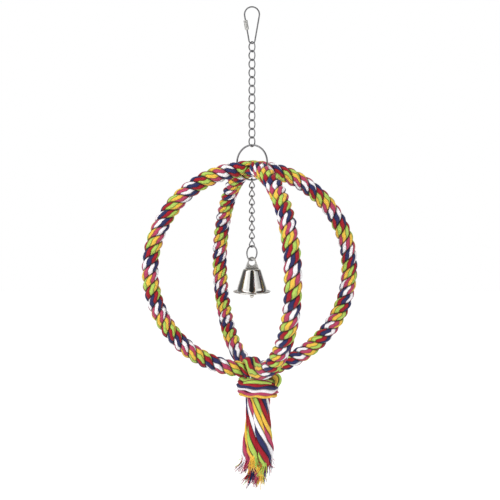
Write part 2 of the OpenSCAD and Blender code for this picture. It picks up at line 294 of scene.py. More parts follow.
def make_piece(name: str, sheets: list[Sheet], material: bpy.types.Material, body: str, node: str,
               sharp: float = 50) -> None:
    """Builds one piece from its sheets, dresses it, and lets it ride on its body in place of its node.

    Args:
        name: Name of the piece.
        sheets: Its surfaces.
        material: Its finish.
        body: The body that it rides on.
        node: The node that it stands for.
        sharp: Edges sharper than this angle, in degrees, aren't shaded smooth.
    """
    mesh = make_mesh(name, sheets, sharp)
    mesh.materials.append(material)
    piece = add_object(name, mesh)
    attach(piece, body)
    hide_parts(node)
    log.info("%s: %d vertices, %d faces", name, len(mesh.vertices), len(mesh.polygons))


def frames_along(line: Array, side: Array, closed: bool) -> tuple[Array, Array]:
    """Two directions square to a line at each of its points.

    Args:
        line: Points as (..., rings, 3).
        side: The way that the first direction leans, in the same shape or one that spreads to it.
        closed: The line is a loop.

    Returns:
        The direction nearest to side, and the one square to it, anticlockwise about the line.
    """
    if closed:
        along = np.roll(line, -1, axis=-2) - np.roll(line, 1, axis=-2)
    else:
        along = np.gradient(line, axis=-2)
    along = unit(along)
    side = np.broadcast_to(side, line.shape)
    first = unit(side - (side * along).sum(axis=-1, keepdims=True) * along)
    return first, np.cross(along, first)


def carried(line: Array, side: Array, first_reach: Array, second_reach: Array, closed: bool = False) -> Array:
    """A section carried along a line: the line's point, plus a reach along each of the two directions there.

    Args:
        line: Middle line as (..., rings, 3).
        side: The way that the first direction leans.
        first_reach: Reach along the first direction, in a shape that spreads to (..., rings, places).
        second_reach: Reach along the second.
        closed: The line is a loop.

    Returns:
        Points as (..., rings, places, 3).
    """
    first, second = frames_along(line, side, closed)
    return (line[..., None, :] + first_reach[..., None] * first[..., None, :]
            + second_reach[..., None] * second[..., None, :])


def tube(line: Array, side: Array, radius: Array | float, places: int, closed: bool = False) -> Array:
    """A round tube: each ring is the line's point plus radius times (cos a, sin a) in the frame there.

    Args:
        line: Middle line as (..., rings, 3).
        side: The way that place 0 faces.
        radius: One radius, or one for each ring.
        places: Points round a ring.
        closed: The line is a loop.

    Returns:
        Points as (..., rings, places, 3).
    """
    angle = round_angles(places)
    reach = np.broadcast_to(np.asarray(radius, dtype=float), line.shape[:-1])[..., None]
    return carried(line, side, reach * np.cos(angle), reach * np.sin(angle), closed)


def lathe(profile: Array, places: int, level: float = 0.0) -> Array:
    """A surface turned about the vertical: each profile point (r, z) goes round at its radius.

    Args:
        profile: Points as (rings, 2), anticlockwise where it is closed, with the outer side going up.
        places: Points round.
        level: Height that the profile is measured from.

    Returns:
        Points as (1, rings, places, 3).
    """
    return polar(profile[:, :1], round_angles(places), profile[:, 1:] + level)[None]


class Graph:
    """A shader's node tree, with short ways to add and join its nodes."""

    def __init__(self, tree: bpy.types.NodeTree) -> None:
        """Takes a tree and empties it."""
        self.tree = tree
        tree.nodes.clear()

    def add(self, kind: str, inputs: dict | None = None, **settings: object) -> bpy.types.Node:
        """Adds a node.

        Args:
            kind: The node's type.
            inputs: Values or sockets for its inputs, by name or number.
            **settings: The node's own settings.

        Returns:
            The node.
        """
        node = self.tree.nodes.new(kind)
        for key, value in settings.items():
            setattr(node, key, value)
        for key, value in (inputs or {}).items():
            if isinstance(value, Socket):
                self.tree.links.new(value, node.inputs[key])
            else:
                node.inputs[key].default_value = value
        return node

    def math(self, operation: str, *values: Socket | float) -> Socket:
        """The result of a Math node on up to three numbers or sockets."""
        return self.add("ShaderNodeMath", dict(enumerate(values)), operation=operation).outputs[0]

    def step(self, value: Socket, low: float, high: float, start: float = 0, end: float = 1) -> Socket:
        """A soft step from start to end, as value goes from low to high."""
        span = {"Value": value, "From Min": low, "From Max": high, "To Min": start, "To Max": end}
        return self.add("ShaderNodeMapRange", span, interpolation_type="SMOOTHSTEP").outputs[0]

    def ramp(self, value: Socket, stops: list[tuple[float, Point]], mode: str) -> Socket:
        """A colour ramp.

        Args:
            value: The place on the ramp.
            stops: Places from 0 to 1, with the colour at each.
            mode: How the colour goes from one stop to the next.

        Returns:
            The colour at value.
        """
        node = self.add("ShaderNodeValToRGB", {"Fac": value})
        node.color_ramp.interpolation = mode
        points = node.color_ramp.elements
        while len(points) > 1:
            points.remove(points[-1])
        points[0].position, points[0].color = stops[0][0], (*stops[0][1], 1)
        for place, colour in stops[1:]:
            points.new(place).color = (*colour, 1)
        return node.outputs["Color"]

    def times(self, first: Socket | Point, second: Socket | Point) -> Socket:
        """Two colours or vectors multiplied, channel by channel."""
        return self.add("ShaderNodeVectorMath", {0: first, 1: second}, operation="MULTIPLY").outputs[0]

    def grey(self, value: Socket) -> Socket:
        """The same value in all three channels."""
        return self.add("ShaderNodeCombineXYZ", {"X": value, "Y": value, "Z": value}).outputs[0]

    def noise(self, vector: Socket, scale: float, detail: float) -> Socket:
        """Plain noise at a vector, 0 to 1."""
        return self.add("ShaderNodeTexNoise", {"Vector": vector, "Scale": scale, "Detail": detail}).outputs[0]

    def background(self, colour: Socket | tuple, strength: Socket | float) -> Socket:
        """A world's light of this colour and strength."""
        return self.add("ShaderNodeBackground", {"Color": colour, "Strength": strength}).outputs[0]

    def mixed(self, share: Socket, first: Socket, second: Socket) -> Socket:
        """The first shader, going over into the second as share goes from 0 to 1."""
        return self.add("ShaderNodeMixShader", {0: share, 1: first, 2: second}).outputs[0]


def new_material(name: str) -> tuple[bpy.types.Material, Graph]:
    """Makes a node material.

    Args:
        name: Its name.

    Returns:
        The material and its empty graph.
    """
    material = bpy.data.materials.new(name)
    material.use_nodes = True
    return material, Graph(material.node_tree)


@dataclass(frozen=True)
class MetalFinish:
    """A bare or plated metal, with drawing marks and handling haze.

    Attributes:
        name: Name of the material.
        colour: Screen colour of its reflection.
        haze: Least and most roughness.
        mark_size: Size of the marks.
        mark_depth: Depth of the marks.
        mark_strength: Share of that depth which shows.
        cloud_marks: Size of the haze's clouds, in marks.
        cloud_span: Values of the clouds' noise between which the haze grows.
        thin_tint: Share of the colour that is left where the haze is thinnest.
    """
    name: str
    colour: ScreenColour
    haze: tuple[float, float]
    mark_size: float
    mark_depth: float
    mark_strength: float = 0.5
    cloud_marks: float = 6
    cloud_span: tuple[float, float] = (0.3, 0.7)
    thin_tint: float = 0.88

    def material(self) -> bpy.types.Material:
        """The metal's node material: marks in its bump, and clouds of haze in its roughness and its tint.

        Returns:
            The material.
        """
        material, graph = new_material(self.name)
        place = graph.add("ShaderNodeTexCoord").outputs["Object"]
        marks = graph.noise(place, 1 / self.mark_size, detail=4)
        clouds = graph.noise(place, 1 / (self.cloud_marks * self.mark_size), detail=2)
        roughness = graph.step(clouds, *self.cloud_span, *self.haze)
        tint = graph.grey(graph.step(clouds, *NOISE_SPAN, self.thin_tint, 1))
        bump = graph.add("ShaderNodeBump",
                         {"Height": marks, "Distance": self.mark_depth, "Strength": self.mark_strength})
        shader = graph.add("ShaderNodeBsdfPrincipled",
                           {"Base Color": graph.times(linear(self.colour), tint), "Metallic": 1.0,
                            "Roughness": roughness, "Normal": bump.outputs[0]})
        graph.add("ShaderNodeOutputMaterial", {"Surface": shader.outputs[0]})
        return material


@dataclass(frozen=True)
class YarnFinish:
    """Soft cotton yarn in six colours, which step on at each whole number of the lay's first coordinate.

    Attributes:
        name: Name of the material.
        colours: Screen colours in the order in which they lie side by side.
        fibres: Fibre streaks across one bundle.
        streak: Length of a streak.
        bundle_depth: Height of a bundle over the groove beside it.
        relief: Share of that height which shows.
        groove: Painted shade between bundles: share of a bundle's half width from which the colour darkens,
            and the light left at its edge.
        shadow: Painted shade in creases: depth in a crease from which the colour darkens, and the light left
            at its bottom.
        wear: Least and most light that the fibres give.
        fine_scale: How much finer the second fibres are, across, along and in depth.
        fibre_height: Height of the fibres, as a share of the bundle's.
        roughness: Roughness of the cotton.
        sheen: Weight of its sheen.
        sheen_roughness: Roughness of the sheen.
    """
    name: str
    colours: tuple[ScreenColour, ...]
    fibres: float
    streak: float
    bundle_depth: float
    relief: float = 0.8
    groove: tuple[float, float] = (0.6, 0.34)
    shadow: tuple[float, float] = (0.66, 0.1)
    wear: tuple[float, float] = (0.86, 1.1)
    fine_scale: Point = (3.1, 2.3, 1.0)
    fibre_height: float = 0.45
    roughness: float = 0.92
    sheen: float = 0.1
    sheen_roughness: float = 0.5

    def material(self) -> bpy.types.Material:
        """The yarn's node material. A bundle's height is the dome sqrt(1 - e^2), with e = 0 in its middle.

        Returns:
            The material.
        """
        material, graph = new_material(self.name)
        lay = graph.add("ShaderNodeUVMap", uv_map="lay").outputs[0]
        split = graph.add("ShaderNodeSeparateXYZ", {0: lay})
        across, along = split.outputs[0], split.outputs[1]
        count = float(YARN_COLOURS)
        place = graph.math("DIVIDE", graph.math("FLOORED_MODULO", across, count), count)
        stops = [(number / YARN_COLOURS, linear(colour)) for number, colour in enumerate(self.colours)]
        colour = graph.ramp(place, stops, "CONSTANT")
        from_middle = graph.math("SUBTRACT", graph.math("FRACT", across), 0.5)
        edge = graph.math("MULTIPLY", graph.math("ABSOLUTE", from_middle), 2.0)
        streaks = graph.add("ShaderNodeCombineXYZ",
                            {"X": graph.math("MULTIPLY", across, self.fibres),
                             "Y": graph.math("MULTIPLY", along, 1 / self.streak)}).outputs[0]
        fibre = graph.noise(streaks, 1, detail=3)
        fine = graph.noise(graph.times(streaks, self.fine_scale), 1, detail=2)
        crease = graph.add("ShaderNodeAttribute", attribute_name="crease").outputs["Fac"]
        # Painted shade: the colour darkens towards each bundle's edge and deep in creases, where bundles and
        # strands shade each other.
        groove = graph.step(edge, self.groove[0], 1.0, 1.0, self.groove[1])
        shadow = graph.step(crease, self.shadow[0], 1.0, 1.0, self.shadow[1])
        worn = graph.step(fibre, *NOISE_SPAN, *self.wear)
        # light is the painted shade times the fibres' own random tone.
        light = graph.math("MULTIPLY", graph.math("MULTIPLY", groove, shadow), worn)
        dome = graph.math("SQRT", graph.math("SUBTRACT", 1.0, graph.math("MULTIPLY", edge, edge)))
        fuzz = graph.math("MULTIPLY", graph.math("ADD", fibre, fine), self.fibre_height)
        bump = graph.add("ShaderNodeBump",
                         {"Height": graph.math("ADD", dome, fuzz), "Distance": self.bundle_depth,
                          "Strength": self.relief})
        shader = graph.add("ShaderNodeBsdfPrincipled",
                           {"Base Color": graph.times(colour, graph.grey(light)), "Roughness": self.roughness,
                            "Sheen Weight": self.sheen, "Sheen Roughness": self.sheen_roughness,
                            "Normal": bump.outputs[0]})
        graph.add("ShaderNodeOutputMaterial", {"Surface": shader.outputs[0]})
        return material


STEEL = MetalFinish("polished_steel", (150, 150, 152), haze=(0.10, 0.22), mark_size=0.4 * MM,
                    mark_depth=0.02 * MM)
NICKEL = MetalFinish("bright_nickel", (233, 231, 227), haze=(0.05, 0.12), mark_size=0.5 * MM,
                     mark_depth=0.01 * MM)
DULL_NICKEL = MetalFinish("dull_nickel", (236, 235, 231), haze=(0.36, 0.46), mark_size=0.2 * MM,
                          mark_depth=0.01 * MM)
CORE_WIRE = MetalFinish("drawn_core_wire", (150, 150, 150), haze=(0.3, 0.45), mark_size=0.3 * MM,
                        mark_depth=0.02 * MM)
# Lime, yellow, pink, white, navy and red.
COTTON = YarnFinish("six_colour_cotton",
                    ((173, 203, 91), (234, 189, 72), (180, 64, 96),
                     (245, 241, 244), (42, 46, 92), (159, 22, 36)),
                    fibres=7, streak=2.2 * MM, bundle_depth=0.5 * MM)


@dataclass
class Studio:
    """Camera, lamps, world and floor.

    The camera's distance, height and focal length give the photographed frame: how large the hoops stand in
    it, and how far it looks down on their near and far sides.

    Attributes:
        distance: From the camera to the point that it looks at.
        look_down: Degrees below the level that the camera looks.
        aim: The point at the middle of the frame.
        frame_px: Side of the square frame.
        focal_px: Focal length, in the frame's pixels.
        sensor: Width of the camera's sensor, in millimetres.
        clip: Nearest and farthest that the camera sees.
        soft_light: Strength of the world's plain light on matt surfaces.
        floor_gap: From the tassel's tip down to the floor.
        floor_reach: Half the floor's side.
        floor_grey: The floor's own colour.
        floor_glow: Strength of the white that the camera and gloss see there.
        floor_white: Share of that white. The rest is the lit floor, with its shadow.
    """
    distance: float = 861 * MM
    look_down: float = 4.15
    aim: Point = (-2.2 * MM, 0.0, -271.5 * MM)
    frame_px: int = 500
    focal_px: float = 753
    sensor: float = 36
    clip: tuple[float, float] = (0.01, 100)
    soft_light: float = 0.5
    floor_gap: float = 160 * MM
    floor_reach: float = 3.0
    floor_grey: float = 0.86
    floor_glow: float = 1.2
    floor_white: float = 0.8

    # Name, place from the aim, side and watts of each lamp.
    LAMPS = (("key", (-0.7, -0.9, 0.6), 0.8, 12.5), ("fill", (0.9, -0.8, 0.1), 0.9, 4.5),
             ("back", (0.4, 1.0, 0.5), 0.9, 7))
    # Greys that gloss sees round the room, each at a share of the half turn from the front to the back.
    ROOM_GREYS = ((0.0, 0.02), (0.11, 0.04), (0.15, 1.0), (0.22, 0.85), (0.30, 1.0), (0.42, 1.0),
                  (0.47, 0.06), (0.72, 0.10), (0.86, 0.5), (1.0, 0.5))
    # Soft steps of the room's strength, as low, high, start and end: by height, and by height times side.
    ROOM_HEIGHT = (-0.9, -0.2, 0.5, 1.2)
    DARK_CORNERS = (0.24, 0.4, 1, 0.12)
    BRIGHT_CORNERS = (-0.4, -0.24, 1.4, 1)

    def camera(self) -> None:
        """Places the camera on the side of the viewer and makes it the scene's own."""
        down = np.radians(self.look_down)
        data = bpy.data.cameras.new("camera")
        data.sensor_width = self.sensor
        data.lens = self.sensor * self.focal_px / self.frame_px
        data.clip_start, data.clip_end = self.clip
        camera = add_object("camera", data)
        x, y, z = self.aim
        camera.location = (x, y - self.distance * np.cos(down), z + self.distance * np.sin(down))
        camera.rotation_euler = (np.pi / 2 - down, 0, 0)
        bpy.context.scene.camera = camera

    def lamp(self, name: str, place: Point, size: float, power: float) -> None:
        """Adds a square soft lamp that faces the middle of the swing and doesn't show in gloss.

        Args:
            name: Name of the lamp.
            place: Where it stands, from the point that the camera looks at.
            size: Its side.
            power: Its power, in watts.
        """
        data = bpy.data.lights.new(name, "AREA")
        data.size, data.energy = size, power
        lamp = add_object(name, data)
        lamp.location = Vector(self.aim) + Vector(place)
        lamp.rotation_euler = (-Vector(place)).to_track_quat("-Z", "Y").to_euler()
        lamp.visible_glossy = False

    def world(self) -> None:
        """White to the camera, plain light on matt surfaces, and for gloss white walls with soft dark bands.

        Two corners of that room are dark and two are bright, so that wires leaning one way look darker.
        """
        world = bpy.data.worlds.new("studio")
        bpy.context.scene.world = world
        world.use_nodes = True
        graph = Graph(world.node_tree)
        path = graph.add("ShaderNodeLightPath").outputs
        way = graph.add("ShaderNodeTexCoord").outputs["Generated"]
        x, y, z = graph.add("ShaderNodeSeparateXYZ", {0: way}).outputs
        from_front = graph.math("ABSOLUTE", graph.math("ARCTAN2", x, graph.math("MULTIPLY", y, -1.0)))
        share = graph.math("DIVIDE", from_front, float(np.pi))
        bands = graph.ramp(share, [(at, (grey, grey, grey)) for at, grey in self.ROOM_GREYS], "EASE")
        slant = graph.math("MULTIPLY", x, z)
        corner = graph.math("MULTIPLY", graph.step(slant, *self.DARK_CORNERS),
                            graph.step(slant, *self.BRIGHT_CORNERS))
        strength = graph.math("MULTIPLY", graph.step(z, *self.ROOM_HEIGHT), corner)
        lit = graph.mixed(path["Is Glossy Ray"], graph.background(WHITE, self.soft_light),
                          graph.background(bands, strength))
        seen = graph.mixed(path["Is Camera Ray"], lit, graph.background(WHITE, 1.0))
        graph.add("ShaderNodeOutputWorld", {"Surface": seen})

    def floor(self) -> None:
        """A wide pale floor below the tassel, white to the camera and to gloss, less the soft shadow."""
        level = CAD_BOX[0].z - self.floor_gap
        reach = self.floor_reach
        mesh = bpy.data.meshes.new("floor")
        square = ((-reach, -reach), (reach, -reach), (reach, reach), (-reach, reach))
        mesh.from_pydata([(x, y, level) for x, y in square], [], [(0, 1, 2, 3)])
        material, graph = new_material("pale_floor")
        path = graph.add("ShaderNodeLightPath").outputs
        matt = graph.add("ShaderNodeBsdfDiffuse", {"Color": (*[self.floor_grey] * 3, 1)}).outputs[0]
        glow = graph.add("ShaderNodeEmission", {"Color": WHITE, "Strength": self.floor_glow}).outputs[0]
        mirrored = graph.math("MAXIMUM", path["Is Glossy Ray"], path["Is Transmission Ray"])
        seen = graph.math("MAXIMUM", path["Is Camera Ray"], mirrored)
        mix = graph.mixed(graph.math("MULTIPLY", seen, self.floor_white), matt, glow)
        graph.add("ShaderNodeOutputMaterial", {"Surface": mix})
        mesh.materials.append(material)
        floor = add_object("floor", mesh)

    def build(self) -> None:
        """Sets up the whole studio."""
        bpy.context.scene.view_settings.view_transform = "Standard"
        self.camera()
        self.world()
        self.floor()
        for name, place, size, power in self.LAMPS:
            self.lamp(name, place, size, power)
        log.info("studio: camera at %.3f m", self.distance)


@dataclass
class TwistedLink:
    """A curb link: a closed oval of round wire, turned a quarter about its length.

    Attributes:
        wire: Wire diameter.
        width: Outside width.
        inner_length: Inside length.
        twist: Turn between the two bows, in degrees.
        rings: Rings round the oval.
        sides: Points round the wire.
    """
    wire: float = 1.4 * MM
    width: float = 8 * MM
    inner_length: float = 9.7 * MM
    twist: float = 90
    rings: int = 88
    sides: int = 16

    def surface(self, top: float, turn: float) -> Array:
        """The link's tube: a flat oval's point at height z turns by half the twist, less the soft step of z.

        The oval's four stretches are the upper bow, a leg down, and both again turned by half a turn.

        Args:
            top: Height of the inside of its upper bow.
            turn: Turn seen from above, in degrees.

        Returns:
            Points as (1, rings, sides, 3).
        """
        half_width = (self.width - self.wire) / 2
        reach = (self.inner_length + self.wire) / 2
        leg = 2 * (reach - half_width)
        bow = np.pi * half_width
        starts = np.array([0, bow, bow + leg, 2 * bow + leg])
        run = (np.arange(self.rings) + 0.5) / self.rings * 2 * (bow + leg)
        stretch = np.searchsorted(starts[1:], run, side="right")
        ahead = run - starts[stretch]
        half = np.where(stretch < 2, 1, -1)
        on_bow = stretch % 2 == 0
        angle = ahead / half_width
        across = half * np.where(on_bow, half_width * np.cos(angle), -half_width)
        height = half * np.where(on_bow, leg / 2 + half_width * np.sin(angle), leg / 2 - ahead)
        twisted = np.radians(turn + self.twist * (0.5 - smooth((height + reach) / (2 * reach))))
        line = polar(across, twisted, height + top - self.inner_length / 2)
        return tube(line, polar(1.0, twisted + TURN / 4), self.wire / 2, self.sides, closed=True)[None]


@dataclass
class Chain:
    """A run of twisted links, each riding on its own body.

    Attributes:
        prefix: Start of the links' names.
        count: Number of links.
        turn: Turn of the links seen from above, in degrees.
    """
    prefix: str
    count: int
    turn: float

    def build(self, material: bpy.types.Material) -> None:
        """Makes each link at the height of its node.

        Args:
            material: The wire's finish.
        """
        link = TwistedLink()
        for number in range(1, self.count + 1):
            node = f"{self.prefix}_link_{number:02d}"
            low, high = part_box(node)
            top = (low.z + high.z + link.inner_length) / 2
            wire = Sheet(link.surface(top, self.turn), closed=True)
            make_piece(f"{node}_wire", [wire], material, node, node)


@dataclass
class WireRing:
    """A closed ring of round wire that stands upright.

    Attributes:
        node: The node that it stands for.
        body: The body that it rides on.
        wire: Wire diameter.
        turn: Turn seen from above, in degrees.
        slot: Its material slot. Not used.
        rings: Rings round the circle.
        sides: Points round the wire.
    """
    node: str
    body: str
    wire: float
    turn: float
    slot: Slot
    rings: int = 160
    sides: int = 20

    def build(self, material: bpy.types.Material) -> None:
        """Carries the wire round a circle, which its node's box gives.

        Args:
            material: The wire's finish.
        """
        low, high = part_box(self.node)
        radius = (high.z - low.z - self.wire) / 2
        out = upright(round_angles(self.rings), self.turn)
        line = UP * (low.z + high.z) / 2 + radius * out
        wire = Sheet(tube(line, out, self.wire / 2, self.sides, closed=True)[None], closed=True)
        make_piece(f"{self.node}_wire", [wire], material, self.body, self.node)


@dataclass
class PearClip:
    """The pear clip: bent wire with a gap in its left leg, and the sleeve that closes it.

    Attributes:
        wire: Wire diameter.
        inner_length: Inside length of the pear.
        top_radius: Middle line radius of the wide bow.
        foot_radius: Middle line radius of the narrow bow.
        sleeve_length: Length of the sleeve.
        sleeve_diameter: Outside diameter of the sleeve.
        gap: Gap in the wire, under the sleeve.
        inset: From the wide bow's end to the sleeve.
        clearance: Between sleeve and wire, on the radius.
        foot_ease: What the wire loses on its radius round the foot, so that the first link swings clear.
        cut_end: Radius of the wire's two cut ends, as a share.
        edge_share: Size of the sleeve's chamfers and grooves, as a share of its wall.
        wire_sides: Points round the wire.
        sleeve_places: Points round the sleeve.
        grooves: Grip grooves round the sleeve.
    """
    wire: float = 1.6 * MM
    inner_length: float = 38.6 * MM
    top_radius: float = 8.3 * MM
    foot_radius: float = 3.3 * MM
    sleeve_length: float = 10.6 * MM
    sleeve_diameter: float = 4.4 * MM
    gap: float = 4 * MM
    inset: float = 5 * MM
    clearance: float = 0.1 * MM
    foot_ease: float = 0.06 * MM
    cut_end: float = 0.75
    edge_share: float = 1 / 3
    wire_sides: int = 20
    sleeve_places: int = 40
    grooves: int = 3

    # Depth and place along the sleeve of the points on an end's chamfer and on a groove, in chamfers.
    CHAMFER_POINTS = ((1, 0), (0.3, 0.3), (0, 1))
    GROOVE_POINTS = ((0, -0.6), (0.7, -0.4), (1, 0), (0.7, 0.4), (0, 0.6))
    # Rings along the left leg under the sleeve, the foot, the right leg, the wide bow and down to the sleeve.
    LOW_RINGS, FOOT_RINGS, RIGHT_RINGS, TOP_RINGS, HIGH_RINGS = 24, 48, 26, 96, 14

    def __post_init__(self) -> None:
        """Works out the levels of the bows, and the ways of the left leg, which touches both bows."""
        self.top = self.wire / 2 - self.top_radius
        self.foot = -self.inner_length - self.wire / 2 + self.foot_radius
        self.lean = np.arcsin((self.top_radius - self.foot_radius) / (self.top - self.foot))
        self.down = np.array([np.sin(self.lean), 0, -np.cos(self.lean)])
        self.out = np.array([-np.cos(self.lean), 0, -np.sin(self.lean)])

    def on_leg(self, down: Array | float) -> Array:
        """Points on the left leg, this far down from the wide bow."""
        start = UP * self.top + self.top_radius * self.out
        return start + np.asarray(down, dtype=float)[..., None] * self.down

    def bow(self, radius: float, level: float, start: float, end: float, steps: int) -> Array:
        """Points of a bow in the plane of the clip, between two angles."""
        angle = np.linspace(start, end, steps)
        return np.stack([radius * np.cos(angle), np.zeros(steps), level + radius * np.sin(angle)], axis=1)

    def wire_surface(self) -> Array:
        """The wire from under the sleeve, round the foot, up and over, and down to the sleeve again.

        Returns:
            Points as (1, rings, places, 3).
        """
        stub = self.inset + (self.sleeve_length - self.gap) / 2
        leg = (self.top - self.foot) * np.cos(self.lean)
        low_leg = self.on_leg(np.linspace(stub + self.gap, leg, self.LOW_RINGS)[:-1])
        foot = self.bow(self.foot_radius, self.foot, np.pi + self.lean, TURN - self.lean, self.FOOT_RINGS)
        top = self.bow(self.top_radius, self.top, -self.lean, np.pi + self.lean, self.TOP_RINGS)
        right_leg = np.linspace(foot[-1], top[0], self.RIGHT_RINGS)[1:-1]
        high_leg = self.on_leg(np.linspace(0, stub, self.HIGH_RINGS)[1:])
        line = np.concatenate([low_leg, foot, right_leg, top, high_leg])
        radius = np.full(len(line), self.wire / 2)
        radius[len(low_leg):len(low_leg) + len(foot)] -= self.foot_ease
        radius[[0, -1]] *= self.cut_end
        return tube(line, np.array([0.0, 1.0, 0.0]), radius, self.wire_sides)[None]

    def sleeve_surface(self) -> Array:
        """The sleeve: a turned tube with chamfered ends and grip grooves, laid along the left leg.

        Returns:
            Points as (1, rings, places, 3).
        """
        bore, outer, length = self.wire / 2 + self.clearance, self.sleeve_diameter / 2, self.sleeve_length
        chamfer = self.edge_share * (outer - bore)
        parts = self.grooves + 1
        cuts = [(length * i / parts, 1, self.GROOVE_POINTS) for i in range(1, parts)]
        cuts = [(0, 1, self.CHAMFER_POINTS), *cuts, (length, -1, self.CHAMFER_POINTS[::-1])]
        outline = [(outer - deep * chamfer, start + way * along * chamfer)
                   for start, way, points in cuts for deep, along in points]
        turned = lathe(np.array([(bore, 0), *outline, (bore, length)]), self.sleeve_places)
        ways = np.stack([self.out, np.cross(self.down, self.out), self.down])
        return self.on_leg(self.inset) + turned @ ways

    def build(self, material: bpy.types.Material, dull: bpy.types.Material) -> None:
        """Makes the wire and the sleeve.

        Args:
            material: The wire's finish.
            dull: The sleeve's duller finish.
        """
        make_piece("clip_pear_wire", [Sheet(self.wire_surface())], material, "clip", "clip_wire")
        sleeve = Sheet(self.sleeve_surface(), closed=True)
        make_piece("clip_grip_sleeve", [sleeve], dull, "sleeve", "clip_sleeve", sharp=30)


@dataclass
class RopeHoop:
    """A hoop of three-strand laid rope.

    A strand's outline is a circle beside the rope's middle, so the rope's outline is three lobes. It turns
    about the hoop's line as the strands are laid, and the yarn bundles lie across each strand at a slant.

    Attributes:
        name: Name of the piece.
        node: The node that it stands for.
        turn: Turn of the hoop seen from above, in degrees.
        half: The half that it keeps where the hoops cross.
        colour_start: Shift of the colours along the rope.
        lays: Full turns of the strands in the hoop.
        colour_steps: Colour steps along a strand in the hoop.
        slack: Share by which the lay opens beside the knot.
        slack_reach: Angle along the hoop from the knot, in which that falls to about a third.
        foot_swell: Share by which the pressed rope stands higher where it rides over the other at the foot.
        swell_reach: Distance from that crossing in which the swell falls to about a third.
        radius: Rope radius over its strands.
        lobe: Radius of a strand.
        bundles: Colour steps round a whole strand.
        strand_shift: Colour steps from one strand to the next.
        ridge: Depth of the grooves between bundles.
        roundness: Power of the bundles' outline. A lower one is squarer.
        press: Share of its thickness that the rope loses at a crossing.
        press_from: Distance from a crossing up to which it is pressed.
        press_to: Distance at which it is full again.
        bulge: Share of the press by which the rope grows wider.
    """
    name: str
    node: str
    turn: float
    half: Half
    colour_start: float
    lays: int = 22
    colour_steps: float = 222
    slack: float = 0.0
    slack_reach: float = 0.5
    foot_swell: float = 0.0
    swell_reach: float = 12 * MM
    radius: float = 9.5 * MM
    lobe: float = 6.2 * MM
    bundles: float = 8.2
    strand_shift: float = 2
    ridge: float = 0.35 * MM
    roundness: float = 0.6
    press: float = 0.5
    press_from: float = 4 * MM
    press_to: float = 14 * MM
    bulge: float = 0.3

    RINGS = 880
    LOBE_PLACES = 24
    STRANDS = 3
    # The node whose box gives both hoops' level and radius.
    SIZED_BY = "hoop_a_rope"
    # Unevenness, as waves of the angle along the hoop, the strand, and for the colours the angle round it.
    COLOUR_WANDER = ((0.16, (17, 2.1, 1)), (0.12, (41, 4.2, -1)))
    LUMPS = ((0.02, (29, 1.7)),)

    def laid(self, from_foot: Array) -> Array:
        """Turn of the strands, which grows less where the lay opens: 1 - slack exp(-(a / slack_reach)^2).

        Args:
            from_foot: Angle from the hoop's foot at each ring.

        Returns:
            The turn at each ring, 0 at the first and a whole number of turns at the last.
        """
        opened = 1 - self.slack * np.exp(-(from_foot / self.slack_reach) ** 2)
        turned = np.concatenate([[0], np.cumsum((opened[1:] + opened[:-1]) / 2)])
        return turned * (self.lays * TURN / turned[-1])

    def strand_outline(self) -> tuple[Array, Array, Array]:
        """A strand's share of the rope's outline, a circle whose middle is set off from the rope's.

        Returns:
            For each place, its angle about the rope's middle, its distance from there, and its angle about
            the strand's middle.
        """
        half_share = TURN / self.STRANDS / 2
        within = np.linspace(-half_share, half_share, self.LOBE_PLACES + 1)
        offset = self.radius - self.lobe
        reach = offset * np.cos(within) + np.sqrt(self.lobe ** 2 - (offset * np.sin(within)) ** 2)
        return within, reach, np.arctan2(reach * np.sin(within), reach * np.cos(within) - offset)

    def pressed(self, out: Array, side: Array, from_top: Array, from_foot: Array) -> tuple[Array, Array]:
        """Presses the rope towards the edge of the half that it keeps, by a soft step of the distance.

        Args:
            out: Places outward from the rope's middle.
            side: Places sideways.
            from_top: Distance from the top crossing.
            from_foot: Distance from the foot crossing.

        Returns:
            The two places, pressed, and swollen as exp(-(d / swell_reach)^2) at the foot.
        """
        nearest = np.minimum(np.abs(from_top), np.abs(from_foot))
        pressed = self.press * (1 - smooth((nearest - self.press_from) / (self.press_to - self.press_from)))
        swell = self.foot_swell * np.exp(-(from_foot / self.swell_reach) ** 2)
        edge = self.half.value * self.radius
        return ((edge - (edge - out) * (1 - pressed)) * (1 + swell),
                side * (1 + self.bulge * pressed * (1 - swell)))

    def build(self, material: bpy.types.Material) -> None:
        """Makes the rope in the place of its node.

        Args:
            material: The yarn's finish.
        """
        low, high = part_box(self.SIZED_BY)
        hoop_radius = (high.z - low.z) / 2 - self.radius
        angle = TURN * np.arange(self.RINGS + 1) / self.RINGS
        from_top, from_foot = (angle + np.pi) % TURN - np.pi, angle % TURN - np.pi
        strand = np.arange(self.STRANDS)[:, None, None]
        run, turned = angle[:, None], self.laid(from_foot)[:, None]
        within, reach, around = self.strand_outline()
        colour = (self.bundles * around / TURN + self.colour_steps / self.lays * turned / TURN
                  + self.strand_shift * strand + self.colour_start
                  + ripple(self.COLOUR_WANDER, run, strand, around))
        groove = 1 - np.abs(np.sin(np.pi * colour)) ** self.roundness
        reach = reach * (1 + ripple(self.LUMPS, run, strand)) - self.ridge * groove
        theta = turned + TURN / self.STRANDS * strand + within
        out, side = self.pressed(reach * np.cos(theta), reach * np.sin(theta),
                                 from_top[:, None] * hoop_radius, from_foot[:, None] * hoop_radius)
        beside = np.cross(polar(1.0, np.radians(self.turn)), UP)
        points = (UP * (low.z + high.z) / 2 + side[..., None] * beside
                  + (hoop_radius + out[..., None]) * upright(angle, self.turn)[:, None])
        # Depth towards the seams between strands, which the yarn's material darkens as painted crease shade.
        crease = np.broadcast_to(np.abs(within) / within[-1], theta.shape)
        rope = Sheet(side_by_side(points[:, :-1, :-1]), side_by_side(yarn_lay(colour, run * hoop_radius)),
                     side_by_side(crease[:, :-1, :-1]), closed=True)
        make_piece(self.name, [rope], material, "hoops", self.node)


